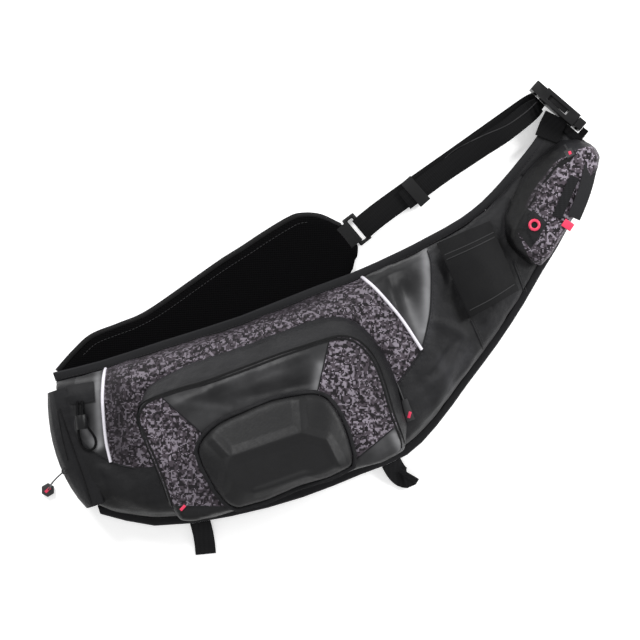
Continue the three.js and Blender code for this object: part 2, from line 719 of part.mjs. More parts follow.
function sidePocketForm(wall, from) {
  const top = slingPoint(0, 0);
  const low = slingPoint(0, 1);
  const out = new THREE.Vector3(low.y - top.y, top.x - low.x, 0).normalize();
  const rings = sidePocketLevels.map(({ lift, bulge }, level) => {
    const ends = level === 0 ? wall : -wall * (level === sidePocketLevels.length - 1);
    const z = bodyBase + lift * sidePocketLift + ends;
    const ring = [];
    for (let i = 0; i <= sidePocketSteps; i += 1) {
      const share = from + ((sidePocketEnd - wall / top.distanceTo(low) - from) * i) / sidePocketSteps;
      const belly = Math.sin(Math.PI * Math.min(1, Math.max(0, share)) ** 1.15) ** 0.6;
      const reach = Math.max(0.5, sidePocketBulge * bulge * belly - wall);
      ring.push(top.clone().lerp(low, share).addScaledVector(out, reach).setZ(z));
    }
    for (let i = sidePocketSteps; i >= 0; i -= 1) {
      const share = from + ((sidePocketEnd - wall / top.distanceTo(low) - from) * i) / sidePocketSteps;
      ring.push(top.clone().lerp(low, share).addScaledVector(out, -sidePocketTuck).setZ(z));
    }
    return ring;
  });
  return solidOf(stack(rings));
}

const sidePocket = sidePocketForm(0, sidePocketMouth)
  .subtract(sidePocketForm(clothWall, sidePocketMouth - 0.05))
  .subtract(bodyRoom);

const sidePocketRoom = sidePocketForm(-clearance, sidePocketMouth);
const sidePocketTop = surfaceOf([sidePocketForm(0, sidePocketMouth)]);

// The shoulder pouch, on the shoulder pad and the tapered end of the body
const pouchRows = [
  { footAlong: 0.62, footAcross: 1, faceAlong: 0.7, faceAcross: 0.91 },
  { footAlong: 0.38, footAcross: 0.85, faceAlong: 0.52, faceAcross: 0.81 },
  { footAlong: 0.22, footAcross: 0.72, faceAlong: 0.38, faceAcross: 0.67 },
  { footAlong: 0.09, footAcross: 0.56, faceAlong: 0.25, faceAcross: 0.5 },
  { footAlong: 0, footAcross: 0.39, faceAlong: 0.14, faceAcross: 0.36 },
  { footAlong: 0.03, footAcross: 0.21, faceAlong: 0.1, faceAcross: 0.23 },
  { footAlong: 0.16, footAcross: 0.09, faceAlong: 0.2, faceAcross: 0.12 },
  { footAlong: 0.4, footAcross: 0.02, faceAlong: 0.4, faceAcross: 0.05 },
  { footAlong: 0.6, footAcross: 0.22, faceAlong: 0.58, faceAcross: 0.24 },
  { footAlong: 0.78, footAcross: 0.47, faceAlong: 0.75, faceAcross: 0.48 },
  { footAlong: 0.94, footAcross: 0.7, faceAlong: 0.91, faceAcross: 0.71 },
  { footAlong: 1, footAcross: 0.87, faceAlong: 0.96, faceAcross: 0.86 },
  { footAlong: 0.9, footAcross: 0.98, faceAlong: 0.87, faceAcross: 0.94 },
];
const pouchCentre = place(0.912, 0.744);
const pouchFace = bodyBase + pouchDepth;
const pouchCrown = 4;
const pouchFoot = padThickness + clothWall + clearance;

function pouchForm(inset) {
  return crownedPocket({
    rows: pouchRows, centre: pouchCentre, length: pouchLength, height: pouchHeight,
    footZ: pouchFoot + inset, gussetZ: bodyBase + pouchDepth * 0.3,
    faceZ: pouchFace - inset, crown: pouchCrown, inset,
  });
}

const pouchOuter = pouchForm(0);
const pouchTop = surfaceOf([pouchOuter]);
const pouchZipPath = pocketZipPath(pouchRows, pouchCentre, pouchLength, pouchHeight, 0, 5, pouchTop);
const zipRoom = ribbon(pouchZipPath, zipWidth + clearance * 2, zipThickness * 3, pouchZipPath.length);
const shoulderPouch = solidOf(pouchOuter)
  .subtract(bodyRoom)
  .subtract(solidOf(pouchForm(clothWall)).subtract(solidOf(shrink(bodyOuter, -clearance - clothWall))))
  .subtract(zipSlot(pouchZipPath, slotReach));

// Binding: a folded tape outside the edge of the pads and over it. Reach is in from the edge.
function binding(edgePoint, from, to) {
  const steps = Math.round((to - from) * 2);
  const section = (i) => from + ((to - from) * i) / steps;
  const under = padThickness + clearance;
  const over = padThickness + clothWall;
  const rows = [
    { lowReach: 0, low: 0, highReach: 0, high: over * 0.86 },
    { lowReach: bindingWall, low: 0, highReach: bindingWall * 0.6, high: over },
    { lowReach: bindingWall, low: under, highReach: bindingWidth * 0.6, high: over },
    { lowReach: bindingWidth, low: under, highReach: bindingWidth, high: over * 0.97 },
  ];
  const low = (i, j) => edgePoint(section(i), rows[j].lowReach).setZ(rows[j].low);
  const high = (i, j) => edgePoint(section(i), rows[j].highReach).setZ(rows[j].high);
  return solidOf(slab(steps, rows.length - 1, low, high)).subtract(wingRoom);
}

const onTopEdge = (section, inset) => slingPoint(section, 0, inset);
const onLowEdge = (section, inset) => slingPoint(section, 1, inset);
const pouchRoom = solidOf(shrink(pouchOuter, -clearance));

// Piping between the panels of the front, its underside cut to the cloth
function piping(corners) {
  const path = corners.map(([section, share]) => {
    const point = slingPoint(section, share, bodyInset);
    return point.setZ(bodySurface(point.x, point.y) + pipingDiameter * 0.3);
  });
  return solidOf(tube(path, pipingDiameter, 6, corners.length)).subtract(bodyRoom);
}

const pipingLeft = piping([[1.1, 0.1], [0.87, 0.22], [0.72, 0.34], [0.6, 0.46], [0.52, 0.58]]);
const pipingRight = piping([[5.02, 0.1], [5.35, 0.17], [5.68, 0.24], [5.9, 0.34], [6.12, 0.44]]);

// Webbing straps: from the ring at the wing's tip to the buckle at the shoulder's tip
const ringCentre = place(0.567, 0.692, ringWire / 2 + 2);
const ringTurn = -0.915;
const ringLength = webbingWidth + ringWire * 1.6;
const ringBreadth = 17;
const overRing = ringCentre.z + ringWire / 2 + clearance + webbingThickness / 2;
const strapGap = 2.4;
const buckleFoot = 2;
const buckleCentre = place(0.926, 0.951, buckleWidth / 2 + buckleFoot);
const buckleTurn = -0.71;
const strapSteps = 16;
const twistFrom = 0.7;
const twistAtEnd = 0.8;
const strapTwist = (t) => Math.max(0, (t - twistFrom) / (1 - twistFrom)) ** 1.5 * twistAtEnd;
const strapBackPath = [
  place(0.572, 0.69, overRing),
  place(0.598, 0.716, overRing),
  place(0.645, 0.757, overRing - 2),
  place(0.735, 0.832, overRing - 2),
  place(0.808, 0.893, overRing + 4),
  place(0.868, 0.944, buckleCentre.z - 6),
  place(0.893, 0.968, buckleCentre.z - 2),
];
const frontLevel = overRing - 2 + webbingThickness + strapGap;
const strapFrontPath = [
  place(0.652, 0.752, frontLevel),
  place(0.713, 0.806, frontLevel),
  place(0.784, 0.862, frontLevel + 4),
  place(0.828, 0.895, frontLevel + 12),
  place(0.868, 0.932, buckleCentre.z + 2),
  place(0.892, 0.954, buckleCentre.z + 2),
];
const strapFrontWidth = webbingWidth * 0.86;

// The side-release buckle stands on its edge, socket towards the strap and prong to the shoulder
function buckleBlock(from, to, thickness, width) {
  const block = new THREE.BoxGeometry((to - from) * buckleLength, thickness, width, 2, 1, 1);
  block.translate(((from + to) / 2 - 0.5) * buckleLength, 0, 0);
  block.rotateZ(buckleTurn);
  block.translate(buckleCentre.x, buckleCentre.y, buckleCentre.z);
  return solidOf(block);
}

function buckleSocket() {
  const shell = buckleBlock(0.2, 0.86, buckleThickness, buckleWidth);
  const window = buckleBlock(0.3, 0.68, buckleThickness * 0.4, buckleWidth + 2);
  const mouth = buckleBlock(0.7, 0.9, buckleThickness * 0.5, buckleWidth * 0.8);
  const bar = buckleBlock(0, 0.2, buckleThickness * 0.8, buckleWidth);
  const slot = buckleBlock(0.07, 0.14, buckleThickness, buckleWidth * 0.86);
  return shell.add(bar).subtract(window).subtract(mouth).subtract(slot);
}

function buckleProng() {
  const base = buckleBlock(0.86 + clearance / buckleLength, 1, buckleThickness * 0.75, buckleWidth * 0.94);
  const tongue = buckleBlock(0.72, 0.88, buckleThickness * 0.4, buckleWidth * 0.7);
  const slot = buckleBlock(0.91, 0.96, buckleThickness, buckleWidth * 0.84);
  return base.add(tongue).subtract(slot);
}

// A box laid in the plan with a turn about its centre
function turnedBox(centre, length, width, thickness, turn, x = 0, y = 0) {
  const block = new THREE.BoxGeometry(length, width, thickness);
  block.translate(x, y, 0);
  block.rotateZ(turn);
  block.translate(centre.x, centre.y, centre.z);
  return solidOf(block);
}

const buckleRoom = buckleBlock(-0.01, 1.01, buckleThickness + clearance * 2, buckleWidth + clearance * 2);
const strapBack = solidOf(ribbon(strapBackPath, webbingWidth, webbingThickness, strapSteps, strapTwist))
  .subtract(buckleRoom);
const strapFront = solidOf(ribbon(strapFrontPath, strapFrontWidth, webbingThickness, strapSteps, strapTwist))
  .subtract(buckleRoom);

// The rectangular ring at the wing's tip, its slot as long as the webbing is wide
function ringFrame() {
  const outer = turnedBox(ringCentre, ringLength, ringBreadth, ringWire, ringTurn);
  const slotBreadth = ringBreadth - ringWire * 1.6;
  const slot = turnedBox(ringCentre, webbingWidth + clearance * 2, slotBreadth, ringWire * 2, ringTurn);
  return outer.subtract(slot);
}

// Webbing sewn on the wing's tip, which lies over the ring's near bar
function ringTab() {
  const path = [
    place(0.515, 0.645, wingThickness + webbingThickness),
    place(0.535, 0.663, wingThickness + webbingThickness),
    place(0.556, 0.683, overRing),
    place(0.563, 0.69, overRing),
  ];
  return solidOf(ribbon(path, webbingWidth, webbingThickness, 8)).subtract(wingRoom);
}

// The slider: a block round both layers of webbing, open where they pass
function sliderBlock() {
  const low = overRing - 2 - webbingThickness / 2 - 2;
  const high = frontLevel + webbingThickness / 2 + 2.5;
  const centre = place(0.672, 0.772, (low + high) / 2);
  const turn = 0.72;
  const block = turnedBox(centre, sliderWidth, webbingWidth + 8, high - low, turn);
  const passage = (path, width) => solidOf(ribbon(
    path, width + clearance * 4, webbingThickness + clearance * 2, strapSteps, strapTwist,
  ));
  return block
    .subtract(passage(strapBackPath, webbingWidth))
    .subtract(passage(strapFrontPath, strapFrontWidth));
}

// Webbing from the shoulder's tip to the buckle's prong
function shoulderTab() {
  const seat = padThickness + clothWall + clearance + webbingThickness / 2;
  const path = [
    place(0.946, 0.888, seat),
    place(0.952, 0.896, seat),
    place(0.964, 0.914, seat + 2),
  ];
  return solidOf(ribbon(path, webbingWidth, webbingThickness, 6)).subtract(buckleRoom).subtract(pouchRoom);
}

// The room that the low binding takes, which the tails end at
const seamSteps = 16;
const seamEdge = (z) => (i, j) => onLowEdge((i / seamSteps) * 8, j === 0 ? -clearance : bindingWidth).setZ(z);
const seamRoom = solidOf(slab(seamSteps, 1, seamEdge(-1), seamEdge(padThickness * 2)));

// Tails of webbing from the bottom seam
function tail(path, steps) {
  return solidOf(ribbon(path, tailWebbingWidth, webbingThickness, steps)).subtract(seamRoom);
}
const tailFoot = webbingThickness / 2 + clearance;
const tailSeat = bindingWall / 2;
const tailLeftPath = [
  onLowEdge(1.6, tailSeat).setZ(padThickness * 0.6),
  place(0.291, 0.05, padThickness * 0.4),
  place(0.294, 0.028, tailFoot + 1),
  place(0.296, 0.004, tailFoot),
];
const tailRightPath = [
  onLowEdge(4.62, tailSeat).setZ(padThickness * 0.6),
  place(0.638, 0.179, padThickness * 0.35),
  place(0.648, 0.168, tailFoot + 1),
  place(0.658, 0.166, tailFoot + 4),
  place(0.662, 0.174, tailFoot + 9),
];

// The patch on the left end that the elastic cord comes out of
const patchThickness = 2;
const tabCorners = [place(0.05, 0.362), place(0.1, 0.372), place(0.103, 0.33), place(0.058, 0.322)];
const tabPatch = geometryOf(
  solidOf(patch(tabCorners, 3, bodySurface, () => clearance, () => clearance + patchThickness))
    .subtract(bodyRoom)
    .subtract(sidePocketRoom),
);
const tabSurface = surfaceOf([tabPatch, bodyOuter]);

// The elastic cord: out of the patch, through its lock, round a loop and back
const cordPlan = [
  [0.072, 0.33], [0.0715, 0.314], [0.0725, 0.296], [0.074, 0.279], [0.0745, 0.26], [0.077, 0.243],
  [0.084, 0.231], [0.094, 0.228], [0.102, 0.234], [0.1045, 0.245], [0.1015, 0.258], [0.0935, 0.272],
  [0.0855, 0.286], [0.0815, 0.299], [0.0805, 0.315], [0.0805, 0.331],
];
const cordSteps = 34;
const cordPath = cordPlan.map(([along, across]) => {
  const point = place(along, across);
  const near = Math.min(1, Math.abs(across - 0.287) / 0.04);
  const seat = tabSurface(point.x, point.y) + cordDiameter / 2 + clearance * 2;
  return point.setZ(seat + (1 - near) * (cordLockDiameter / 2 - cordDiameter / 2));
});

function cordLock() {
  const middle = place(0.0795, 0.287);
  middle.setZ(bodySurface(middle.x, middle.y) + cordLockDiameter / 2 + clearance);
  const barrel = new THREE.CylinderGeometry(cordLockDiameter / 2, cordLockDiameter / 2, cordLockLength, 12);
  barrel.rotateZ(0.12);
  barrel.translate(middle.x, middle.y, middle.z);
  const bore = solidOf(tube(cordPath, cordDiameter + clearance * 4, 6, cordSteps));
  return solidOf(barrel).subtract(bore).subtract(bodyRoom);
}

// Zip pulls: a hexagonal one with a cord on the side pocket, and two flat ones
function sidePull() {
  const hexCentre = place(0.013, 0.14, pullThickness / 2 + 2);
  const rope = cordDiameter * 0.7;
  const seat = place(0.05, 0.185);
  seat.setZ(sidePocketTop(seat.x, seat.y) + rope / 2 + clearance * 2);
  const hex = new THREE.CylinderGeometry(pullDiameter / 2, pullDiameter / 2, pullThickness, 6);
  hex.rotateX(Math.PI / 2);
  hex.translate(hexCentre.x, hexCentre.y, hexCentre.z);
  const tie = [
    hexCentre.clone(),
    place(0.0195, 0.148, seat.z * 0.45),
    place(0.026, 0.159, seat.z * 0.95),
    place(0.039, 0.175, seat.z + rope),
    seat,
  ];
  return solidOf(hex).add(solidOf(tube(tie, rope, 6, 10))).subtract(sidePocketRoom);
}

// A place on a pocket by shares of its length and height
function onPocket(centre, length, height, along, across) {
  return new THREE.Vector3(centre.x + (along - 0.5) * length, centre.y + (across - 0.5) * height, 0);
}

function flatPull(from, to, surface, width) {
  const lift = pullThickness * 0.5;
  const start = from.clone().setZ(surface(from.x, from.y) + lift + clearance);
  const end = to.clone().setZ(surface(to.x, to.y) + lift + clearance);
  const body = ribbon([start.clone().lerp(end, 0.45), end], width, lift * 1.4, 3);
  const between = (share) => start.clone().lerp(end, share);
  const tie = tube([start, between(0.3), between(0.6)], cordDiameter * 0.8, 6, 4);
  return solidOf(body).add(solidOf(tie)).subtract(bodyRoom)
    .subtract(mainPocketRoom).subtract(pouchRoom).subtract(solidOf(zipRoom));
}

// A small block that lies on a surface
function lyingBlock(centre, length, width, thickness, turn, surface) {
  const middle = centre.clone().setZ(surface(centre.x, centre.y) + thickness / 2 + clearance);
  return turnedBox(middle, length, width, thickness, turn).subtract(mainPocketRoom);
}

// Dressings of the shoulder pouch
const pouchPatchCorners = [place(0.874, 0.737), place(0.903, 0.704), place(0.881, 0.658), place(0.868, 0.69)];
const pouchPatchThickness = 1.6;
const pouchPatch = geometryOf(solidOf(patch(
  pouchPatchCorners, 3, pouchTop, () => clearance, () => clearance + pouchPatchThickness,
)).subtract(pouchRoom).subtract(solidOf(zipRoom)));
const eyeletCentre = place(0.881, 0.699);

function eyeletRing() {
  const half = eyeletDiameter / 2;
  const hole = eyeletHole / 2;
  const profile = [
    [hole, 0], [half, 0], [half, 0.8], [(half + hole) / 2, 2], [hole, 1.2], [hole, 0],
  ].map(([radius, rise]) => new THREE.Vector2(radius, rise));
  const ring = new THREE.LatheGeometry(profile, 12);
  ring.rotateX(Math.PI / 2);
  const seat = surfaceOf([pouchPatch])(eyeletCentre.x, eyeletCentre.y);
  ring.translate(eyeletCentre.x, eyeletCentre.y, seat + clearance + 0.6);
  return solidOf(ring).subtract(solidOf(shrink(pouchPatch, -clearance)));
}

const baseStripPath = [place(0.953, 0.8), place(0.942, 0.772), place(0.931, 0.742), place(0.921, 0.715)];
const baseStripWidth = 12;
const baseStrip = solidOf(layer(baseStripPath, baseStripWidth, webbingThickness, 4, pouchTop))
  .subtract(pouchRoom);

// A strip of webbing sewn along the pouch's outer edge, tilted over it
const loopWidth = 17;
const loopTilt = -0.35;
const pouchWebbingPath = [
  place(0.981, 0.822, pouchFace + 1),
  place(0.975, 0.79, pouchFace + 2.4),
  place(0.964, 0.75, pouchFace + 2.8),
  place(0.951, 0.714, pouchFace + 2),
];
const pouchStrip = solidOf(ribbon(pouchWebbingPath, loopWidth, webbingThickness, 6, () => loopTilt))
  .subtract(pouchRoom)
  .subtract(solidOf(layer(baseStripPath, baseStripWidth + 1, webbingThickness * 3, 4, pouchTop, 0)));
const tagTurn = -0.6;
const tagCentre = place(0.9405, 0.699, pouchFace + pouchCrown);
const redTag = turnedBox(tagCentre, tagLength, tagWidth, tagThickness, tagTurn)
  .subtract(pouchRoom)
  .subtract(solidOf(ribbon(
    pouchWebbingPath, loopWidth + 1, webbingThickness + clearance * 2, 6, () => loopTilt,
  )));

add("wing_pad", wingSolid, airMesh);
add("back_pad", backPad, airMesh);
add("shoulder_pad", shoulderPad, packcloth);

let bodyShell = bodyOuterSolid
  .subtract(solidOf(bodyCavity))
  .subtract(mainZipBand(zipWidth + clearance * 2, 4, clothWall * 3));
const panelLow = bodyBase + clothWall * 3;
const panelHigh = bodyBase + bodyDepth * 2;
for (const panel of frontPanels) {
  const outline = panelOutline(panel);
  const piece = bodyShell.intersect(solidOf(prism(insetRing(outline, clearance), panelLow, panelHigh)));
  bodyShell = bodyShell.subtract(solidOf(prism(outline, panelLow, panelHigh)));
  add(panel.name, piece, panel.finish);
}
add("body_shell", bodyShell, packcloth);
add("main_zip", mainZipBand(zipWidth, 0.5, clothWall), zipTape);
add("top_binding", binding(onTopEdge, 0, lastSection), bindingTape);
add("lower_binding", binding(onLowEdge, 0, lastSection), bindingTape);
add("piping_left", pipingLeft, lightPiping);
add("piping_right", pipingRight, lightPiping);
add("main_pocket", mainPocket, packcloth);
add("pocket_zip", zipStrip(mainPocketZipPath), zipTape);
add("dome_pocket", domeShell, mouldedFoam);
add("dome_welt", domeWelt(), packcloth);
add("phone_pocket", phonePocket(), neoprene);
add("side_pocket", sidePocket, airMesh);
add("shoulder_pouch", shoulderPouch, camoCloth);
add("pouch_zip", zipStrip(pouchZipPath), zipTape);
add("strap_back", strapBack, webbing);
add("strap_front", strapFront, webbing);
add("slider", sliderBlock(), gloss);
add("ring", ringFrame(), gloss);
add("ring_tab", ringTab(), webbing);
add("shoulder_tab", shoulderTab(), webbing);
add("bottom_strap_left", tail(tailLeftPath, 8), webbing);
add("bottom_strap_right", tail(tailRightPath, 10), webbing);
add("buckle_socket", buckleSocket(), gloss);
add("buckle_prong", buckleProng(), gloss);

add("tab_patch", tabPatch, packcloth);
add("bungee_cord", tube(cordPath, cordDiameter, 6, cordSteps), webbing);
add("cord_lock", cordLock(), gloss);
add("side_pull", sidePull(), gloss);
const pullWidth = 10;
const byMainPocket = (along, across) => (
  onPocket(mainPocketCentre, mainPocketLength, mainPocketHeight, along, across)
);
const byPouch = (along, across) => onPocket(pouchCentre, pouchLength, pouchHeight, along, across);
const pocketPull = flatPull(byMainPocket(0.97, 0.676), byMainPocket(1.023, 0.5), bodySurface, pullWidth);
const pouchPull = flatPull(byPouch(0.636, 0.959), byPouch(0.698, 0.863), pouchTop, pullWidth);
add("pocket_pull", pocketPull, gloss);
add("pouch_pull", pouchPull, gloss);
add("bar_tack", lyingBlock(place(0.261, 0.112), 8, 3.5, 1.5, 0.8, mainPocketTop), accentRed);
add("pouch_patch", pouchPatch, packcloth);
add("eyelet", eyeletRing(), accentRed);
add("pouch_base_strip", baseStrip, webbing);
add("pouch_webbing", pouchStrip, webbing);
add("red_tag", redTag, accentRed);

// The origin is under the middle of the whole sling, at the floor
const box = new THREE.Box3().setFromObject(group);
const middle = box.getCenter(new THREE.Vector3());
group.position.set(-middle.x, -middle.y, -box.min.z);
group.updateMatrixWorld(true);

export default group;
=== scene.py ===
"""Dresses the fishing tackle sling bag: cloth, padding, webbing, zips and fittings, on a pale floor."""

import json
import math

import bpy
import numpy as np
from mathutils import Matrix, Vector, noise
from mathutils.bvhtree import BVHTree

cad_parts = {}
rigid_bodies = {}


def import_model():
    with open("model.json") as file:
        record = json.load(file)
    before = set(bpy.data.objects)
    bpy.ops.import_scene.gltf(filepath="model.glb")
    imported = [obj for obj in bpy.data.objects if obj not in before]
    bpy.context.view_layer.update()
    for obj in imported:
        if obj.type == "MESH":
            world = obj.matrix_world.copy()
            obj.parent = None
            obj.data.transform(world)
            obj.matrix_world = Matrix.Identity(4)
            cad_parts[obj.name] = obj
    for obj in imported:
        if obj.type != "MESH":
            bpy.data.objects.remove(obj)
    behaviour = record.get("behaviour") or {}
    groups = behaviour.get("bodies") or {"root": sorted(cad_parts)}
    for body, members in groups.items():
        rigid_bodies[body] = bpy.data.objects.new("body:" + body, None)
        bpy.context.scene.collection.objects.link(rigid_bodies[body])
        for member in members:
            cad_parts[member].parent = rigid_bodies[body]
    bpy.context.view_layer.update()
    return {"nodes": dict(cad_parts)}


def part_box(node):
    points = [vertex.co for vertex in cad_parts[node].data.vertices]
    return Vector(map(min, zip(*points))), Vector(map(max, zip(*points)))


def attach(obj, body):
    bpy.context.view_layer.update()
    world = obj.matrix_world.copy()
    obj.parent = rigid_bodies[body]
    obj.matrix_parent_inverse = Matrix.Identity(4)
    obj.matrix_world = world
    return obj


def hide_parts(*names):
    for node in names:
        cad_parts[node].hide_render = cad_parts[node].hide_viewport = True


bl_info = {
    "name": "Tackle Sling Bag",
    "version": (1, 0, 0),
    "blender": (4, 5, 0),
    "location": "View3D > Sidebar > Sling Bag",
    "description": "Makes a fishing tackle sling bag in parts, each by its own operator",
    "category": "Object",
}

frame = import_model()
MM = 0.001

# The plan of the sling: shares of its length and width, as in the part's source
SLING_LENGTH = 678 * MM
SLING_WIDTH = 574 * MM
RING_SHARES = (0.567, 0.692)
ring_low, ring_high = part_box("ring")
ring_middle = (ring_low + ring_high) / 2
CENTRE_X = ring_middle.x - (RING_SHARES[0] - 0.5) * SLING_LENGTH
CENTRE_Y = ring_middle.y - (RING_SHARES[1] - 0.5) * SLING_WIDTH


def place(along, across, z=0.0):
    """A point in metres from its shares of the sling's length and width."""
    x = CENTRE_X + (along - 0.5) * SLING_LENGTH
    y = CENTRE_Y + (across - 0.5) * SLING_WIDTH
    return Vector((x, y, z))


def table(columns, *rows):
    """The rows of a table as dictionaries with these column names."""
    return [dict(zip(columns.split(), row)) for row in rows]


# Settings


class ClothSettings(bpy.types.PropertyGroup):
    """Sizes of the cloth's seams, wrinkles and weave."""

    voxel: bpy.props.FloatProperty(
        name="Cloth grid", description="Spacing of the grid that cloth pieces are made on",
        default=4 * MM, min=2 * MM, subtype="DISTANCE", unit="LENGTH")
    wrinkle: bpy.props.FloatProperty(
        name="Wrinkle depth", description="Depth of the broad wrinkles in the cloth",
        default=1.7 * MM, min=0, subtype="DISTANCE", unit="LENGTH")
    stitch_length: bpy.props.FloatProperty(
        name="Stitch length", description="Length of one stitch",
        default=3.2 * MM, min=1 * MM, subtype="DISTANCE", unit="LENGTH")
    stitch_gap: bpy.props.FloatProperty(
        name="Stitch gap", description="Gap between stitches",
        default=1.3 * MM, min=0, subtype="DISTANCE", unit="LENGTH")
    thread: bpy.props.FloatProperty(
        name="Thread", description="Diameter of the thread",
        default=0.7 * MM, min=0.2 * MM, subtype="DISTANCE", unit="LENGTH")
    pressure: bpy.props.FloatProperty(
        name="Pad pressure", description="Pressure that fills the pads", default=4.0, min=0)
    pad_swell: bpy.props.FloatProperty(
        name="Pad swell", description="Most that a pad may swell out of its solid",
        default=2.5 * MM, min=0, subtype="DISTANCE", unit="LENGTH")


class ColourSettings(bpy.types.PropertyGroup):
    """Colours of the bag."""

    pack: bpy.props.FloatVectorProperty(
        name="Packcloth", description="Colour of the dark cloth", subtype="COLOR",
        size=3, min=0, max=1, default=(0.0068, 0.0068, 0.0076))
    # Also the colour of the painted shade on the print.
    camo_dark: bpy.props.FloatVectorProperty(
        name="Camo dark", description="Dark patches of the print", subtype="COLOR",
        size=3, min=0, max=1, default=(0.0075, 0.0056, 0.0076))
    camo_middle: bpy.props.FloatVectorProperty(
        name="Camo middle", description="Ground of the print", subtype="COLOR",
        size=3, min=0, max=1, default=(0.062, 0.05, 0.062))
    camo_light: bpy.props.FloatVectorProperty(
        name="Camo light", description="Light patches of the print", subtype="COLOR",
        size=3, min=0, max=1, default=(0.24, 0.212, 0.25))
    accent: bpy.props.FloatVectorProperty(
        name="Accent", description="Colour of the small red parts", subtype="COLOR",
        size=3, min=0, max=1, default=(0.74, 0.035, 0.1))
    piping: bpy.props.FloatVectorProperty(
        name="Piping", description="Colour of the light piping", subtype="COLOR",
        size=3, min=0, max=1, default=(0.78, 0.75, 0.82))


class StageSettings(bpy.types.PropertyGroup):
    """The floor, the lights and the camera."""

    lens: bpy.props.FloatProperty(
        name="Lens", description="Focal length of the camera", default=200.0, min=10)
    view: bpy.props.FloatProperty(
        name="Width in view", description="Width that the photograph takes in at the bag",
        default=640 * 1.2 * MM, min=0.1, subtype="DISTANCE", unit="LENGTH")


def cloth():
    return bpy.context.scene.sling_cloth


def colours():
    return bpy.context.scene.sling_colours


# Shaders


class Value:
    """A shader socket that takes part in arithmetic."""

    def __init__(self, shader, socket):
        self.shader = shader
        self.socket = socket

    def combine(self, operation, first, second):
        node = self.shader.node("ShaderNodeMath", {"operation": operation}, {0: first, 1: second})
        return Value(self.shader, node.outputs[0])

    def __add__(self, other):
        return self.combine("ADD", self, other)

    def __radd__(self, other):
        return self.combine("ADD", other, self)

    def __sub__(self, other):
        return self.combine("SUBTRACT", self, other)

    def __rsub__(self, other):
        return self.combine("SUBTRACT", other, self)

    def __mul__(self, other):
        return self.combine("MULTIPLY", self, other)

    def __rmul__(self, other):
        return self.combine("MULTIPLY", other, self)

    def __gt__(self, other):
        return self.combine("GREATER_THAN", self, other)

    def __lt__(self, other):
        return self.combine("LESS_THAN", self, other)

    def __pow__(self, other):
        return self.combine("POWER", self, other)

    def least(self, other):
        return self.combine("MINIMUM", self, other)

    def most(self, other):
        return self.combine("MAXIMUM", self, other)

    def sine(self):
        return self.combine("SINE", self, 0.0)


class Shader:
    """A material on object coordinates, with one way to add each kind of node."""

    def __init__(self, name, roughness=0.8, **constants):
        self.material = bpy.data.materials.new(name + "_finish")
        self.material.use_nodes = True
        self.tree = self.material.node_tree
        self.surface = self.tree.nodes["Principled BSDF"]
        self.surface.inputs["Roughness"].default_value = roughness
        for socket, value in constants.items():
            self.surface.inputs[socket.replace("_", " ")].default_value = value

    def node(self, kind, settings=None, inputs=None):
        made = self.tree.nodes.new(kind)
        for key, value in (settings or {}).items():
            setattr(made, key, value)
        for key, value in (inputs or {}).items():
            if isinstance(value, Value):
                self.tree.links.new(value.socket, made.inputs[key])
            else:
                made.inputs[key].default_value = value
        return made

    def out(self, node, socket=0):
        return Value(self, node.outputs[socket])

    def coordinates(self):
        return self.out(self.node("ShaderNodeTexCoord"), "Object")

    def turned(self, angle):
        """Object coordinates turned about the vertical."""
        return self.out(self.node(
            "ShaderNodeMapping", None, {"Vector": self.coordinates(), "Rotation": (0, 0, -angle)}))

    def parts(self, vector):
        split = self.node("ShaderNodeSeparateXYZ", None, {0: vector})
        return [self.out(split, i) for i in range(3)]

    def kept(self, name):
        """A number from 0 to 1 that is kept on the mesh."""
        return self.out(self.node("ShaderNodeAttribute", {"attribute_name": name}), "Fac")

    def mix(self, share, low, high):
        """A number between two, by a share from 0 to 1."""
        return low + (high - low) * share

    def grain(self, size, detail=2.0, vector=None):
        """Noise with patches of about that size, from 0 to 1."""
        return self.out(self.node("ShaderNodeTexNoise", None, {
            "Vector": vector or self.coordinates(), "Scale": 1 / size, "Detail": detail}))

    def blend(self, share, low, high):
        """A colour between two, by a share from 0 to 1."""
        mixed = self.node("ShaderNodeMix", {"data_type": "RGBA"}, {0: share, 6: low, 7: high})
        return self.out(mixed, 2)

    def colour(self, value):
        if isinstance(value, Value):
            self.tree.links.new(value.socket, self.surface.inputs["Base Color"])
        else:
            self.surface.inputs["Base Color"].default_value = solid(value)
        return self

    def rough(self, value):
        self.tree.links.new(value.socket, self.surface.inputs["Roughness"])
        return self

    def relief(self, height, depth):
        bump = self.node("ShaderNodeBump", None, {"Height": height, "Distance": depth, "Strength": 1.0})
        self.tree.links.new(bump.outputs[0], self.surface.inputs["Normal"])
        return self


def solid(colour):
    return (*tuple(colour)[:3], 1)


def shaded(colour, share):
    return solid([channel * share for channel in tuple(colour)[:3]])


def weave(shader, spacing, angle=0.0):
    """Crossed threads of that spacing, from 0 to 1."""
    x, y, z = shader.parts(shader.turned(angle))
    turn = 2 * math.pi / spacing
    warp = ((x + z * 0.6) * turn).sine()
    weft = ((y + z * 0.8) * turn).sine()
    return warp * weft * 0.5 + 0.5


CLOTH_RELIEF = 0.5 * MM
CAMO_CELL = 1.35 * MM


def pack_look(shader, tone=0.5):
    """Colour, roughness and relief of the dark cloth. The painted light runs from 0, painted shade, to 1,
    painted highlight.
    """
    base = colours().pack
    # Painted highlights and painted shade: the painted light scales the cloth's colour from 0.35 to 4.6
    # times its own, with a random grain on top.
    share = (shader.grain(55 * MM, 3) * 0.3 + tone - 0.15).least(1).most(0)
    colour = shader.blend(share * share, shaded(base, 0.35), shaded(base, 4.6))
    rough = shader.grain(22 * MM, 3) * 0.3 + 0.36
    relief = weave(shader, 1.1 * MM, 0.7) * 0.25 + shader.grain(13 * MM, 4) * 3.2
    return colour, rough, relief


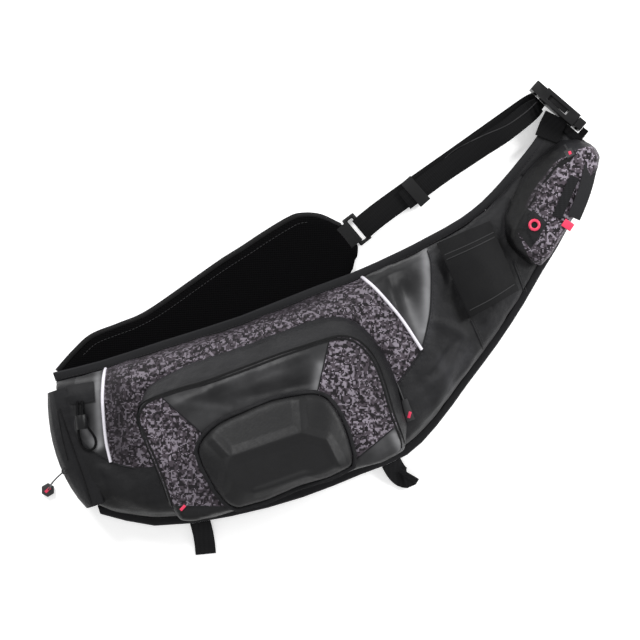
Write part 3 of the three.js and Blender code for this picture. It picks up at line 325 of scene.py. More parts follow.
def gloss_look(shader, tone):
    """Colour, roughness and relief of the glossy cloth."""
    # Painted highlight: where the painted light is high, the glossy cloth turns light grey. The grain adds
    # random lighter patches.
    share = (shader.grain(35 * MM, 3) * 0.4 + tone - 0.31).least(1).most(0)
    colour = shader.blend(share ** 3, solid((0.0075, 0.0075, 0.0082)), solid((0.3, 0.3, 0.31)))
    rough = shader.grain(16 * MM, 3) * 0.2 + 0.3
    relief = shader.grain(24 * MM, 3) * 1.5 + weave(shader, 1 * MM, 0.7) * 0.12
    return colour, rough, relief


def camo_look(shader, tone):
    """A generic digital print: small square cells in three colours. Where the painted light is low, painted
    shade pulls the print towards its dark colour.
    """
    cell = CAMO_CELL
    cells = shader.out(shader.node("ShaderNodeVectorMath", {"operation": "SNAP"}, {
        0: shader.turned(0.0), 1: (cell, cell, cell)}))
    broad = shader.grain(4.6 * MM, 5, cells)
    elsewhere = shader.node("ShaderNodeVectorMath", {"operation": "ADD"}, {0: cells, 1: (0.7, 0.3, 0.9)})
    other = shader.grain(4 * MM, 5, shader.out(elsewhere))
    hues = colours()
    ground = shader.blend((broad < 0.5), solid(hues.camo_middle), solid(hues.camo_dark))
    print_colour = shader.blend((other > 0.55), ground, solid(hues.camo_light))
    # Painted shade: where the painted light is low, the print is pulled towards its dark colour. The grain
    # adds random darkening.
    share = (shader.grain(28 * MM, 2) * 0.4 + tone * 1.4 - 0.25).least(1).most(0)
    colour = shader.blend(share, solid(hues.camo_dark), print_colour)
    rough = shader.grain(20 * MM, 3) * 0.2 + 0.5
    relief = weave(shader, 1 * MM, 0.72) * 0.25 + shader.grain(14 * MM, 4) * 2.5
    return colour, rough, relief


def dark_cloth(name):
    """The dark cloth alone, for pieces without panels."""
    shader = Shader(name, Specular_IOR_Level=0.16)
    colour, rough, relief = pack_look(shader)
    shader.colour(colour).rough(rough).relief(relief, CLOTH_RELIEF)
    return shader.material


def panelled():
    """Dark cloth with camo and gloss panels, which the mesh's own masks divide. The painted highlights and
    painted shade kept on the mesh lighten and darken all three.
    """
    shader = Shader("panelled_cloth", Specular_IOR_Level=0.2)
    # The painted highlights and painted shade, kept on the mesh.
    tone = shader.kept("tone")
    colour, rough, relief = pack_look(shader, tone)
    for name, look in (("camo", camo_look), ("gloss", gloss_look)):
        mask = shader.kept(name) > 0.5
        panel_colour, panel_rough, panel_relief = look(shader, tone)
        colour = shader.blend(mask, colour, panel_colour)
        rough = shader.mix(mask, rough, panel_rough)
        relief = shader.mix(mask, relief, panel_relief)
    shader.colour(colour).rough(rough).relief(relief, CLOTH_RELIEF)
    return shader.material


def air_mesh():
    """Open spacer mesh: rows of small holes."""
    shader = Shader("air_mesh", 0.95, Specular_IOR_Level=0.05)
    holes = weave(shader, 3.2 * MM, 0.75)
    shader.colour(shader.blend(holes, solid((0.0007, 0.0007, 0.0008)), solid((0.0028, 0.0028, 0.0031))))
    shader.relief(holes, 0.7 * MM)
    return shader.material


def binding_tape():
    """Woven tape with fine ribs across it."""
    shader = Shader("binding_tape", 0.85, Specular_IOR_Level=0.12)
    ribs = weave(shader, 1.5 * MM, 0.35)
    shader.colour(shader.blend(ribs, solid((0.012, 0.012, 0.013)), solid((0.026, 0.026, 0.028))))
    shader.relief(ribs, 0.25 * MM)
    return shader.material


def webbing_tape(name, angle, colour):
    """Webbing with ribs across its run, which lies at that angle in the plan."""
    shader = Shader(name, 0.78, Specular_IOR_Level=0.14)
    x, y, z = shader.parts(shader.turned(angle))
    ribs = ((x + z * 0.3) * (2 * math.pi / (2.6 * MM))).sine()
    cords = (y * (2 * math.pi / (5.8 * MM))).sine()
    height = ribs * 0.3 + cords * 0.3
    shader.colour(shader.blend(height * 0.5 + 0.5, shaded(colour, 0.7), shaded(colour, 1.3)))
    shader.relief(height, 0.3 * MM)
    return shader.material


def neoprene():
    """Smooth foam cloth with faint patches."""
    shader = Shader("neoprene", 0.7, Specular_IOR_Level=0.15)
    dark, light = solid((0.0035, 0.0035, 0.004)), solid((0.0075, 0.0075, 0.008))
    shader.colour(shader.blend(shader.grain(20 * MM, 3), dark, light))
    shader.relief(weave(shader, 1.3 * MM, 0.4) * 0.5 + shader.grain(3 * MM, 2), 0.2 * MM)
    return shader.material


def moulded_foam():
    """Pressed foam with a cloth skin: a short grain."""
    shader = Shader("moulded_foam", 0.55, Specular_IOR_Level=0.24)
    dark, light = solid((0.0052, 0.0052, 0.0057)), solid((0.009, 0.009, 0.0097))
    shader.colour(shader.blend(shader.grain(30 * MM, 3), dark, light))
    shader.rough(shader.grain(5 * MM, 3) * 0.2 + 0.4)
    shader.relief(weave(shader, 1.6 * MM, 0.7) * 0.5 + shader.grain(2.5 * MM, 2), 0.12 * MM)
    return shader.material


def grained(name, roughness, colour, grain, depth, **constants):
    """One colour with a fine grain."""
    shader = Shader(name, roughness, **constants)
    shader.colour(colour)
    shader.relief(shader.grain(grain, 2), depth)
    return shader.material


def hard_plastic():
    return grained(
        "hard_plastic", 0.42, (0.0035, 0.0035, 0.004), 1.2 * MM, 0.06 * MM, Specular_IOR_Level=0.3)


def rubber():
    return grained("rubber", 0.6, (0.018, 0.018, 0.0195), 1.5 * MM, 0.08 * MM)


def zip_tape():
    shader = Shader("zip_tape", 0.6, Specular_IOR_Level=0.2)
    shader.colour((0.003, 0.003, 0.0035))
    shader.relief(weave(shader, 1.2 * MM, 0.3), 0.2 * MM)
    return shader.material


def light_piping():
    shader = Shader("light_piping", 0.42)
    base = colours().piping
    shader.colour(shader.blend(shader.grain(9 * MM, 3), shaded(base, 0.75), shaded(base, 1.0)))
    shader.relief(shader.grain(2 * MM, 2), 0.15 * MM)
    return shader.material


def accent_red():
    shader = Shader("accent_red", 0.45)
    base = colours().accent
    shader.colour(shader.blend(shader.grain(4 * MM, 2), shaded(base, 0.85), solid(base)))
    return shader.material


def dark_thread():
    shader = Shader("dark_thread", 0.7)
    shader.colour((0.0095, 0.0095, 0.0105))
    return shader.material


FINISHES = {
    "packcloth": lambda: dark_cloth("packcloth"),
    "panelled_cloth": panelled,
    "air_mesh": air_mesh,
    "stretch_cloth": lambda: dark_cloth("stretch_cloth"),
    "binding_tape": binding_tape,
    "neoprene": neoprene,
    "moulded_foam": moulded_foam,
    "hard_plastic": hard_plastic,
    "rubber": rubber,
    "zip_tape": zip_tape,
    "light_piping": light_piping,
    "accent_red": accent_red,
    "dark_thread": dark_thread,
    "strap_webbing": lambda: webbing_tape("strap_webbing", 0.72, (0.0026, 0.0026, 0.003)),
    "tail_webbing": lambda: webbing_tape("tail_webbing", 1.6, (0.0105, 0.0105, 0.0115)),
}


def finish(name):
    """The material of that name, made when it is first asked for."""
    return bpy.data.materials.get(name + "_finish") or FINISHES[name]()


# Objects and meshes


def pick(*objects):
    """Selects these objects alone, the first of them active."""
    bpy.ops.object.select_all(action="DESELECT")
    for obj in objects:
        obj.select_set(True)
    bpy.context.view_layer.objects.active = objects[0]
    return objects[0]


def own(obj, name, material):
    """Names an object and gives it this finish alone."""
    obj.name = name
    obj.data.name = name
    obj.data.materials.clear()
    obj.data.materials.append(finish(material))
    return obj


def settle(obj):
    """Applies the place, turn and size, so that the object sits at the origin."""
    pick(obj)
    bpy.ops.object.transform_apply(location=True, rotation=True, scale=True)
    return obj


def apply_modifier(obj, kind, **settings):
    pick(obj)
    modifier = obj.modifiers.new(kind.title(), kind)
    for key, value in settings.items():
        setattr(modifier, key, value)
    bpy.ops.object.modifier_apply(modifier=modifier.name)
    return obj


def in_edit_mode(obj, *steps):
    """Selects the whole mesh in edit mode and runs the steps."""
    pick(obj)
    bpy.ops.object.mode_set(mode="EDIT")
    bpy.ops.mesh.select_all(action="SELECT")
    for step in steps:
        step()
    bpy.ops.object.mode_set(mode="OBJECT")
    return obj


def merge():
    bpy.ops.mesh.remove_doubles(threshold=0.02 * MM)


def outwards():
    bpy.ops.mesh.normals_make_consistent(inside=False)


def flatten():
    bpy.ops.mesh.dissolve_limited(angle_limit=math.radians(0.8))


def copied(*nodes):
    """One new object with the merged meshes of these nodes of the frame."""
    copies = []
    for name in nodes:
        node = frame["nodes"][name]
        twin = bpy.data.objects.new(name + "_copy", node.data.copy())
        bpy.context.scene.collection.objects.link(twin)
        copies.append(twin)
    pick(*copies)
    if len(copies) > 1:
        bpy.ops.object.join()
    return in_edit_mode(copies[0], merge)


def smooth(obj, angle=40):
    pick(obj)
    bpy.ops.object.shade_smooth_by_angle(angle=math.radians(angle))
    return obj


def rides(obj, slot, *nodes):
    """The piece belongs to the bag and stands in for these nodes, which it hides. The slot is not used."""
    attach(obj, "root")
    if nodes:
        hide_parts(*nodes)
    return obj


def bounds_of(name):
    """The low and high corner of an object's mesh."""
    points = read(bpy.data.objects[name].data.vertices, "co")
    return Vector(points.min(axis=0)), Vector(points.max(axis=0))


def tree_of(*objects):
    """A search tree over the faces of some meshes."""
    points = []
    faces = []
    for obj in objects:
        start = len(points)
        points.extend(v.co.copy() for v in obj.data.vertices)
        faces.extend([start + i for i in p.vertices] for p in obj.data.polygons)
    return BVHTree.FromPolygons(points, faces)


def height(tree, x, y, default=0.0):
    """The highest place of a tree's faces over a place in the plan."""
    hit = tree.ray_cast(Vector((x, y, 1)), Vector((0, 0, -1)))[0]
    return hit.z if hit else default


def facing_inside(obj, up_reach, side_reach):
    """Selects the faces that look across a hollow at another face of the same mesh."""
    tree = tree_of(obj)
    for polygon in obj.data.polygons:
        reach = up_reach if abs(polygon.normal.z) > 0.5 else side_reach
        start = polygon.center + polygon.normal * 0.05 * MM
        polygon.select = tree.ray_cast(start, polygon.normal, reach)[0] is not None


def outer_skin(name, nodes, voxel, up_reach, side_reach):
    """An even closed skin round hollow nodes, without the walls of the hollow."""
    obj = copied(*nodes)
    pick(obj)
    bpy.context.tool_settings.mesh_select_mode = (False, False, True)
    facing_inside(obj, up_reach, side_reach)
    bpy.ops.object.mode_set(mode="EDIT")
    bpy.ops.mesh.delete(type="FACE")
    bpy.ops.object.mode_set(mode="OBJECT")
    apply_modifier(obj, "REMESH", mode="VOXEL", voxel_size=voxel, adaptivity=0)
    obj.name = name
    return obj


# Paths


def curve_through(points, steps):
    """Points along a smooth curve through these, with that many steps from each to the next."""
    ends = [points[0] * 2 - points[1], *points, points[-1] * 2 - points[-2]]
    path = []
    for before, start, end, after in zip(ends, ends[1:], ends[2:], ends[3:]):
        for k in range(steps):
            t = k / steps
            path.append(0.5 * (
                2 * start + (end - before) * t
                + (2 * before - 5 * start + 4 * end - after) * t ** 2
                + (3 * start - before - 3 * end + after) * t ** 3))
    path.append(points[-1].copy())
    return path


def spaced(path, gap):
    """Points at even gaps along a path, each with the direction of the path there."""
    found = []
    travelled = 0.0
    due = gap / 2
    for a, b in zip(path, path[1:]):
        way = b - a
        length = way.length
        while length > 0 and due <= travelled + length:
            found.append((a + way * ((due - travelled) / length), way.normalized()))
            due += gap
        travelled += length
    return found


def draped(points, tree, lift=0.0, steps=6):
    """A smooth curve through places in the plan, laid on a surface."""
    path = curve_through([Vector((p.x, p.y, 0)) for p in points], steps)
    level = None
    for point in path:
        level = height(tree, point.x, point.y, level or 0.0)
        point.z = level + lift
    return path


def shares(*pairs):
    return [place(along, across) for along, across in pairs]


def rope(name, path, diameter, material, sides=8, closed=False):
    """A round cord along a path, as a mesh."""
    bpy.ops.object.select_all(action="DESELECT")
    curve = bpy.data.curves.new(name, "CURVE")
    curve.dimensions = "3D"
    curve.bevel_depth = diameter / 2
    curve.bevel_resolution = max(0, sides // 4 - 1)
    curve.use_fill_caps = True
    spline = curve.splines.new("POLY")
    spline.points.add(len(path) - 1)
    spline.use_cyclic_u = closed
    for knot, point in zip(spline.points, path):
        knot.co = (*point, 1)
    obj = bpy.data.objects.new(name, curve)
    bpy.context.scene.collection.objects.link(obj)
    pick(obj)
    bpy.ops.object.convert(target="MESH")
    obj = bpy.context.view_layer.objects.active
    in_edit_mode(obj, merge, outwards)
    own(obj, name, material)
    return smooth(obj, 60)


def repeated(name, pattern, places, material):
    """One mesh of many copies of a small pattern, each by its own matrix."""
    points = []
    faces = []
    for matrix in places:
        start = len(points)
        points.extend(matrix @ v.co for v in pattern.data.vertices)
        faces.extend([start + i for i in p.vertices] for p in pattern.data.polygons)
    mesh = bpy.data.meshes.new(name)
    mesh.from_pydata(points, [], faces)
    obj = bpy.data.objects.new(name, mesh)
    bpy.context.scene.collection.objects.link(obj)
    bpy.data.objects.remove(pattern)
    own(obj, name, material)
    return smooth(obj, 50)


def standing(point, way, normal):
    """The matrix of something that lies along a way on a surface with that normal."""
    side = normal.cross(way).normalized()
    up = way.cross(side).normalized()
    turned = Matrix((way, side, up)).transposed().to_4x4()
    turned.translation = point
    return turned


def stitch_pattern():
    """One stitch: a short bar with rounded ends."""
    settings = cloth()
    bpy.ops.object.select_all(action="DESELECT")
    bpy.ops.mesh.primitive_cube_add(size=1)
    obj = bpy.context.view_layer.objects.active
    obj.scale = (settings.stitch_length, settings.thread, settings.thread)
    settle(obj)
    return apply_modifier(obj, "BEVEL", width=settings.thread * 0.3, segments=1, limit_method="NONE")


def stitches(name, path):
    """A row of stitches along a path that lies on cloth."""
    settings = cloth()
    up = Vector((0, 0, 1))
    places = [
        standing(point + up * settings.thread * 0.2, way, up)
        for point, way in spaced(path, settings.stitch_length + settings.stitch_gap)
    ]
    return repeated(name, stitch_pattern(), places, "dark_thread")


def strip(name, path, width, thickness, material, crown=0.0):
    """A flat band along a path, its width across the path in the plan."""
    points = []
    faces = []
    ways = [b - a for a, b in zip(path, path[1:])]
    ways.append(ways[-1])
    columns = 6
    for i, (point, way) in enumerate(zip(path, ways)):
        before = ways[max(0, i - 1)]
        along = (way.normalized() + before.normalized()).normalized()
        side = Vector((-along.y, along.x, 0)).normalized()
        up = along.cross(side).normalized()
        if up.z < 0:
            up.negate()
        over = [(j, thickness / 2) for j in range(columns + 1)]
        under = [(j, -thickness / 2) for j in range(columns, -1, -1)]
        for j, lift in over + under:
            share = j / columns - 0.5
            rise = crown * (1 - 4 * share * share)
            points.append(point + side * share * width + up * (rise + lift))
    around = 2 * (columns + 1)
    for i in range(len(path) - 1):
        for j in range(around):
            after = (j + 1) % around
            here, ahead = i * around, (i + 1) * around
            faces.append([here + j, here + after, ahead + after, ahead + j])
    faces.append(list(range(around)))
    last = (len(path) - 1) * around
    faces.append([last + j for j in reversed(range(around))])
    mesh = bpy.data.meshes.new(name)
    mesh.from_pydata(points, [], faces)
    obj = bpy.data.objects.new(name, mesh)
    bpy.context.scene.collection.objects.link(obj)
    in_edit_mode(obj, outwards)
    own(obj, name, material)
    return smooth(obj, 40)


# Cloth


def off_stretch(points, start, end):
    """The share along a stretch that is nearest to each point in the plan, and how far off the point is."""
    start = np.array(start[:2])
    run = np.array(end[:2]) - start
    share = np.clip((points[:, :2] - start) @ run / (run @ run), 0, 1)
    return share, np.linalg.norm(points[:, :2] - start - share[:, None] * run, axis=1)


def strokes(points, rows):
    """Each row of a table of strokes, with each point's share along it and distance in stroke widths."""
    for row in rows:
        share, distance = off_stretch(points, place(*row["from"]), place(*row["to"]))
        yield row, share, distance / (row["width_mm"] * MM)


def fold_lift(points, folds):
    """How far the folds lift the cloth at each point. Each fold is a soft ridge between two places."""
    lift = np.zeros(len(points))
    for fold, share, distance in strokes(points, folds):
        fade = np.sin(math.pi * (share * 0.9 + 0.05)) ** 0.5
        lift += fold["lift_mm"] * MM * fade * np.exp(-distance ** 2) * (1 - 0.6 * distance ** 2)
    return lift


def read(collection, key):
    """The vectors of a mesh's vertices or faces as rows."""
    flat = np.empty(len(collection) * 3)
    collection.foreach_get(key, flat)
    return flat.reshape(-1, 3)


def crumple(obj, folds, size, depth, lowest=-1.0):
    """Moves the cloth above a level by broad wrinkles and by its own folds."""
    points = read(obj.data.vertices, "co")
    normals = read(obj.data.vertices, "normal")
    wrinkle = np.array([
        noise.noise(Vector(p) / size) + 0.5 * noise.noise(Vector(p) / (size * 0.45)) for p in points])
    lift = depth * wrinkle + fold_lift(points, folds) * np.clip(normals[:, 2], 0, 1)
    lift *= np.clip((points[:, 2] - lowest) / (4 * MM), 0, 1)
    obj.data.vertices.foreach_set("co", (points + normals * lift[:, None]).ravel())
    obj.data.update()
    return obj


def keep(obj, name, values):
    """Keeps one number from 0 to 1 on each point of the mesh."""
    layer = obj.data.attributes.new(name, "FLOAT", "POINT")
    layer.data.foreach_set("value", np.clip(np.asarray(values), 0, 1))


def keep_mask(obj, name, distances):
    """Keeps a mask on the mesh, from distances that are positive inside the panel."""
    keep(obj, name, np.asarray(distances) / (6 * MM) + 0.5)


def keep_painted_light(obj, points, painted_light_strokes):
    """Keeps the painted highlights and painted shade on the mesh: a half, with broad light and dark
    strokes.
    """
    tone = np.full(len(points), 0.5)
    for row, share, distance in strokes(points, painted_light_strokes):
        tone += row["tone"] * np.exp(-distance ** 2)
    keep(obj, "tone", tone)


def row_side(row, points):
    """How far each point is to the left of the nearest stretch of a line through some places."""
    side = np.full(len(points), np.inf)
    places = shares(*row)
    for a, b in zip(places, places[1:]):
        distance = off_stretch(points, a, b)[1]
        run = b - a
        turn = run.x * (points[:, 1] - a.y) - run.y * (points[:, 0] - a.x)
        side = np.where(distance < np.abs(side) - 0.001 * MM, np.copysign(distance, turn), side)
    return side


def panelled_skin(name, nodes, grid, reaches, passes, panels, painted_light_strokes):
    """A cloth skin round some hollow nodes, with its panels and its painted highlights and painted shade
    kept on the mesh.
    """
    skin = outer_skin(name, nodes, cloth().voxel * grid, *reaches)
    apply_modifier(skin, "SMOOTH", factor=0.5, iterations=passes)
    apply_modifier(skin, "SUBSURF", levels=1, render_levels=1)
    own(skin, name, "panelled_cloth")
    points = read(skin.data.vertices, "co")
    camo, gloss = panels(points)
    keep_mask(skin, "camo", camo)
    keep_mask(skin, "gloss", gloss)
    keep_painted_light(skin, points, painted_light_strokes)
    return skin


PAD_GRID = 5 * MM
PAD_FRAMES = 20


def swollen(obj):
    """Fills a pad by the cloth simulation. Each point may only rise or sink, and only so far."""
    apply_modifier(obj, "REMESH", mode="VOXEL", voxel_size=PAD_GRID, adaptivity=0)
    cap = cloth().pad_swell
    begun = [v.co.copy() for v in obj.data.vertices]
    scene = bpy.context.scene
    pick(obj)
    modifier = obj.modifiers.new("Cloth", "CLOTH")
    modifier.settings.use_pressure = True
    modifier.settings.uniform_pressure_force = cloth().pressure
    modifier.settings.effector_weights.gravity = 0
    modifier.settings.quality = 4
    modifier.point_cache.frame_start = 1
    modifier.point_cache.frame_end = PAD_FRAMES
    for number in range(1, PAD_FRAMES + 1):
        scene.frame_set(number)
    bpy.ops.object.modifier_apply(modifier="Cloth")
    scene.frame_set(1)
    for vertex, start in zip(obj.data.vertices, begun):
        rise = max(-cap, min(cap, vertex.co.z - start.z))
        lowest = min(start.z, 0.2 * MM)
        vertex.co = (start.x, start.y, max(start.z + rise, lowest))
    return apply_modifier(obj, "SUBSURF", levels=1, render_levels=1)


def rounded(node, name, material, slot, width, angle=35, segments=2, smooth_angle=40):
    """A CAD node with rounded edges and its own finish."""
    piece = copied(node)
    in_edit_mode(piece, flatten)
    apply_modifier(
        piece, "BEVEL", width=width, segments=segments, limit_method="ANGLE",
        angle_limit=math.radians(angle))
    own(piece, name, material)
    smooth(piece, smooth_angle)
    return rides(piece, slot, node)


def plate(name, centre, size, turn, edge, material, slot):
    """A small flat bar with rounded edges, turned in the plan."""
    bpy.ops.object.select_all(action="DESELECT")
    bpy.ops.mesh.primitive_cube_add(size=1, location=centre, rotation=(0, 0, turn))
    obj = bpy.context.view_layer.objects.active
    obj.scale = size
    settle(obj)
    apply_modifier(obj, "BEVEL", width=edge, segments=2, limit_method="NONE")
    own(obj, name, material)
    return rides(smooth(obj, 40), slot)


# Pads


WING_EDGE = [
    (0.03, 0.392), (0.06, 0.432), (0.092, 0.466), (0.14, 0.489), (0.191, 0.515), (0.271, 0.58),
    (0.324, 0.624), (0.363, 0.653), (0.4, 0.682), (0.442, 0.712), (0.465, 0.722), (0.5, 0.72),
    (0.537, 0.7),
]


class SLING_OT_pads(bpy.types.Operator):
    """Makes the padded wing, the back pad and the shoulder pad"""
    bl_idname = "sling.pads"
    bl_label = "Pads"

    def execute(self, context):
        pads = {"wing_pad": "air_mesh", "back_pad": "air_mesh", "shoulder_pad": "packcloth"}
        for node, material in pads.items():
            pad = swollen(copied(node))
            own(pad, node + "_soft", material)
            smooth(pad, 180)
            rides(pad, material, node)
        self.wing_trim()
        return {"FINISHED"}

    def wing_trim(self):
        tree = tree_of(bpy.data.objects["wing_pad_soft"])
        edge = draped(shares(*WING_EDGE), tree, 0, 8)
        for point in edge:
            point.z = 5.2 * MM
        band = strip("wing_binding", edge, 6 * MM, 5.5 * MM, "zip_tape", crown=1.2 * MM)
        rides(band, "binding_tape")
        inner = [Vector((p.x + 6 * MM, p.y - 9 * MM, p.z)) for p in edge[10:-12]]
        row = draped(inner[::6], tree, 0.3 * MM, 6)
        rides(stitches("wing_stitches", row), "air_mesh")


# The body


BODY_FOLDS = table(
    "from to width_mm lift_mm",
    ((0.70, 0.30), (0.76, 0.48), 9, 3.6),
    ((0.66, 0.33), (0.735, 0.40), 7, 2.0),
    ((0.73, 0.56), (0.70, 0.62), 8, 2.2),
    ((0.70, 0.45), (0.73, 0.60), 7, -2.2),
    ((0.80, 0.50), (0.86, 0.60), 8, 1.8),
    ((0.10, 0.20), (0.17, 0.14), 9, 2.2),
    ((0.09, 0.26), (0.13, 0.12), 8, -1.8),
    ((0.055, 0.34), (0.09, 0.22), 6, 1.8),
    ((0.30, 0.50), (0.52, 0.57), 7, 1.8),
    ((0.16, 0.40), (0.30, 0.46), 8, 1.6),
    ((0.64, 0.57), (0.67, 0.46), 6, 2.0),
    ((0.62, 0.60), (0.65, 0.50), 5, -1.6),
    ((0.745, 0.33), (0.78, 0.44), 8, 3.4),
    ((0.70, 0.38), (0.745, 0.46), 6, -3.2),
    ((0.70, 0.50), (0.76, 0.47), 8, 2.4),
    ((0.835, 0.66), (0.86, 0.78), 8, 2.4),
    ((0.12, 0.15), (0.23, 0.09), 10, 2.6),
    ((0.11, 0.31), (0.15, 0.40), 7, 1.6),
    ((0.54, 0.52), (0.60, 0.47), 8, 2),
)
BODY_SEAMS = {
    "right": [(0.681, 0.438), (0.66, 0.40), (0.636, 0.365)],
    "crescent": [(0.692, 0.645), (0.698, 0.61), (0.697, 0.53), (0.69, 0.48), (0.681, 0.438)],
    "low_right": [(0.769, 0.499), (0.78, 0.47), (0.791, 0.439)],
    "neck": [(0.844, 0.626), (0.854, 0.594), (0.864, 0.561)],
    "left": [(0.099, 0.224), (0.131, 0.203), (0.173, 0.19)],
}
PIPING_LEFT = [(0.1186, 0.397), (0.1163, 0.341), (0.1186, 0.293), (0.123, 0.245), (0.131, 0.203)]
PIPING_RIGHT = [(0.575, 0.591), (0.598, 0.567), (0.624, 0.533), (0.649, 0.496), (0.681, 0.438)]
GLOSS_LEFT_EDGE = [(0.066, 0.43), (0.0665, 0.32), (0.0665, 0.27), (0.098, 0.225), (0.132, 0.203)]
CAMO_FOOT = [
    (0.131, 0.203), (0.173, 0.19), (0.25, 0.2), (0.6, 0.3), (0.636, 0.365), (0.66, 0.4), (0.681, 0.438),
]
PANEL_FOOT_Z = 12 * MM
# Painted highlights and painted shade on the body's cloth: strokes that lighten it where light falls on the
# gloss and the folds, and darken it where shade falls.
BODY_PAINTED_LIGHT = table(
    "from to width_mm tone",
    ((0.690, 0.64), (0.692, 0.48), 8, 0.42),
    ((0.655, 0.54), (0.682, 0.46), 8, 0.26),
    ((0.60, 0.60), (0.655, 0.58), 16, -0.14),
    ((0.107, 0.39), (0.113, 0.24), 6, 0.4),
    ((0.078, 0.285), (0.104, 0.235), 6, 0.42),
    ((0.083, 0.31), (0.086, 0.30), 6, -0.3),
    ((0.12, 0.10), (0.25, 0.05), 22, -0.22),
    ((0.09, 0.19), (0.13, 0.10), 12, -0.12),
    ((0.70, 0.30), (0.76, 0.42), 26, 0.14),
    ((0.135, 0.38), (0.15, 0.22), 15, -0.3),
    ((0.17, 0.43), (0.50, 0.555), 15, -0.3),
    ((0.60, 0.50), (0.655, 0.42), 16, 0.14),
    ((0.05, 0.10), (0.25, 0.05), 28, -0.3),
    ((0.715, 0.42), (0.735, 0.36), 6, 0.24),
    ((0.74, 0.40), (0.775, 0.45), 7, 0.14),
    ((0.705, 0.33), (0.73, 0.28), 9, -0.14),
    ((0.73, 0.55), (0.755, 0.50), 8, -0.2),
    ((0.715, 0.62), (0.78, 0.44), 7, -0.16),
    ((0.80, 0.48), (0.85, 0.57), 9, 0.1),
    ((0.84, 0.66), (0.87, 0.80), 9, -0.14),
    ((0.02, 0.30), (0.06, 0.14), 14, -0.08),
)


class SLING_OT_body(bpy.types.Operator):
    """Makes the main compartment with its panels, seams and piping"""
    bl_idname = "sling.body"
    bl_label = "Body"

    def execute(self, context):
        nodes = ("body_shell", "front_camo_panel", "gloss_panel_left", "gloss_panel_right", "main_zip")
        body = panelled_skin("body", nodes, 1.0, (75 * MM, 240 * MM), 3, self.panels, BODY_PAINTED_LIGHT)
        crumple(body, BODY_FOLDS, 38 * MM, cloth().wrinkle, lowest=16 * MM)
        smooth(body, 180)
        rides(body, "packcloth", *nodes[:-1])
        self.trim(body)
        return {"FINISHED"}

    def panels(self, points):
        """Camo between the two pipings, and gloss outside them, down to the seams."""
        past_left = row_side([(0.119, 0.45)] + PIPING_LEFT, points)
        past_right = row_side([(0.545, 0.63)] + PIPING_RIGHT, points)
        level = points[:, 2] - PANEL_FOOT_Z
        camo = np.minimum.reduce([past_left, -past_right, row_side(CAMO_FOOT, points), level])
        gloss_left = np.minimum(row_side(GLOSS_LEFT_EDGE, points), -past_left)
        crescent = -row_side([(0.69, 0.72)] + BODY_SEAMS["crescent"], points)
        gloss_right = np.minimum(past_right, crescent)
        return camo, np.minimum(np.maximum(gloss_left, gloss_right), level)

    def trim(self, body):
        tree = tree_of(body)
        for name, row in BODY_SEAMS.items():
            path = draped(shares(*row), tree, 0.1 * MM, 8)
            rides(rope("seam_" + name, path, 2 * MM, "packcloth", 8), "packcloth")
            beside = [p + Vector((3.4 * MM, 0, 0)) for p in path]
            for point in beside:
                point.z = height(tree, point.x, point.y, point.z)
            rides(stitches("stitches_" + name, beside), "packcloth")
        for name, row in {"piping_left": PIPING_LEFT, "piping_right": PIPING_RIGHT}.items():
            path = draped(shares(*row), tree, 0.9 * MM, 8)
            cord = rope(name + "_cord", path, 4 * MM, "light_piping", 12)
            rides(cord, "piping", name)


TOP_EDGE = [
    (0.023, 0.389), (0.108, 0.414), (0.218, 0.456), (0.359, 0.509), (0.487, 0.569), (0.558, 0.6),
    (0.642, 0.645), (0.692, 0.675), (0.752, 0.715), (0.791, 0.751), (0.825, 0.793), (0.855, 0.835),
    (0.881, 0.874),
]
LOW_EDGE = [
    (0.108, 0.09), (0.205, 0.065), (0.342, 0.085), (0.472, 0.126), (0.575, 0.174), (0.657, 0.215),
    (0.708, 0.274), (0.766, 0.366), (0.819, 0.45), (0.865, 0.533), (0.899, 0.603), (0.926, 0.655),
    (0.956, 0.724),
]
BINDING_STITCH_REACH = 9.4 * MM


class SLING_OT_bindings(bpy.types.Operator):
    """Makes the folded tape along both edges and its stitches"""
    bl_idname = "sling.bindings"
    bl_label = "Bindings"

    def execute(self, context):
        for node in ("top_binding", "lower_binding"):
            width = 0.9 * MM
            tape = rounded(node, node + "_tape", "binding_tape", "binding_tape", width, smooth_angle=35)
            self.stitch(tape, node)
        return {"FINISHED"}

    def stitch(self, tape, node):
        """A row of stitches along the inner edge of the tape."""
        edge = {"top_binding": TOP_EDGE, "lower_binding": LOW_EDGE}[node]
        inward = {"top_binding": -1, "lower_binding": 1}[node]
        outline = curve_through(shares(*edge), 8)
        points = []
        for before, point, after in zip(outline, outline[1:], outline[2:]):
            way = (after - before).normalized()
            points.append(point + Vector((-way.y, way.x, 0)) * inward * BINDING_STITCH_REACH)
        tree = tree_of(tape)
        row = [Vector((p.x, p.y, height(tree, p.x, p.y, -1))) for p in points]
        row = [p for p in row if p.z > 10 * MM]
        rides(stitches(node + "_stitches", row), "binding_tape")


# The main pocket


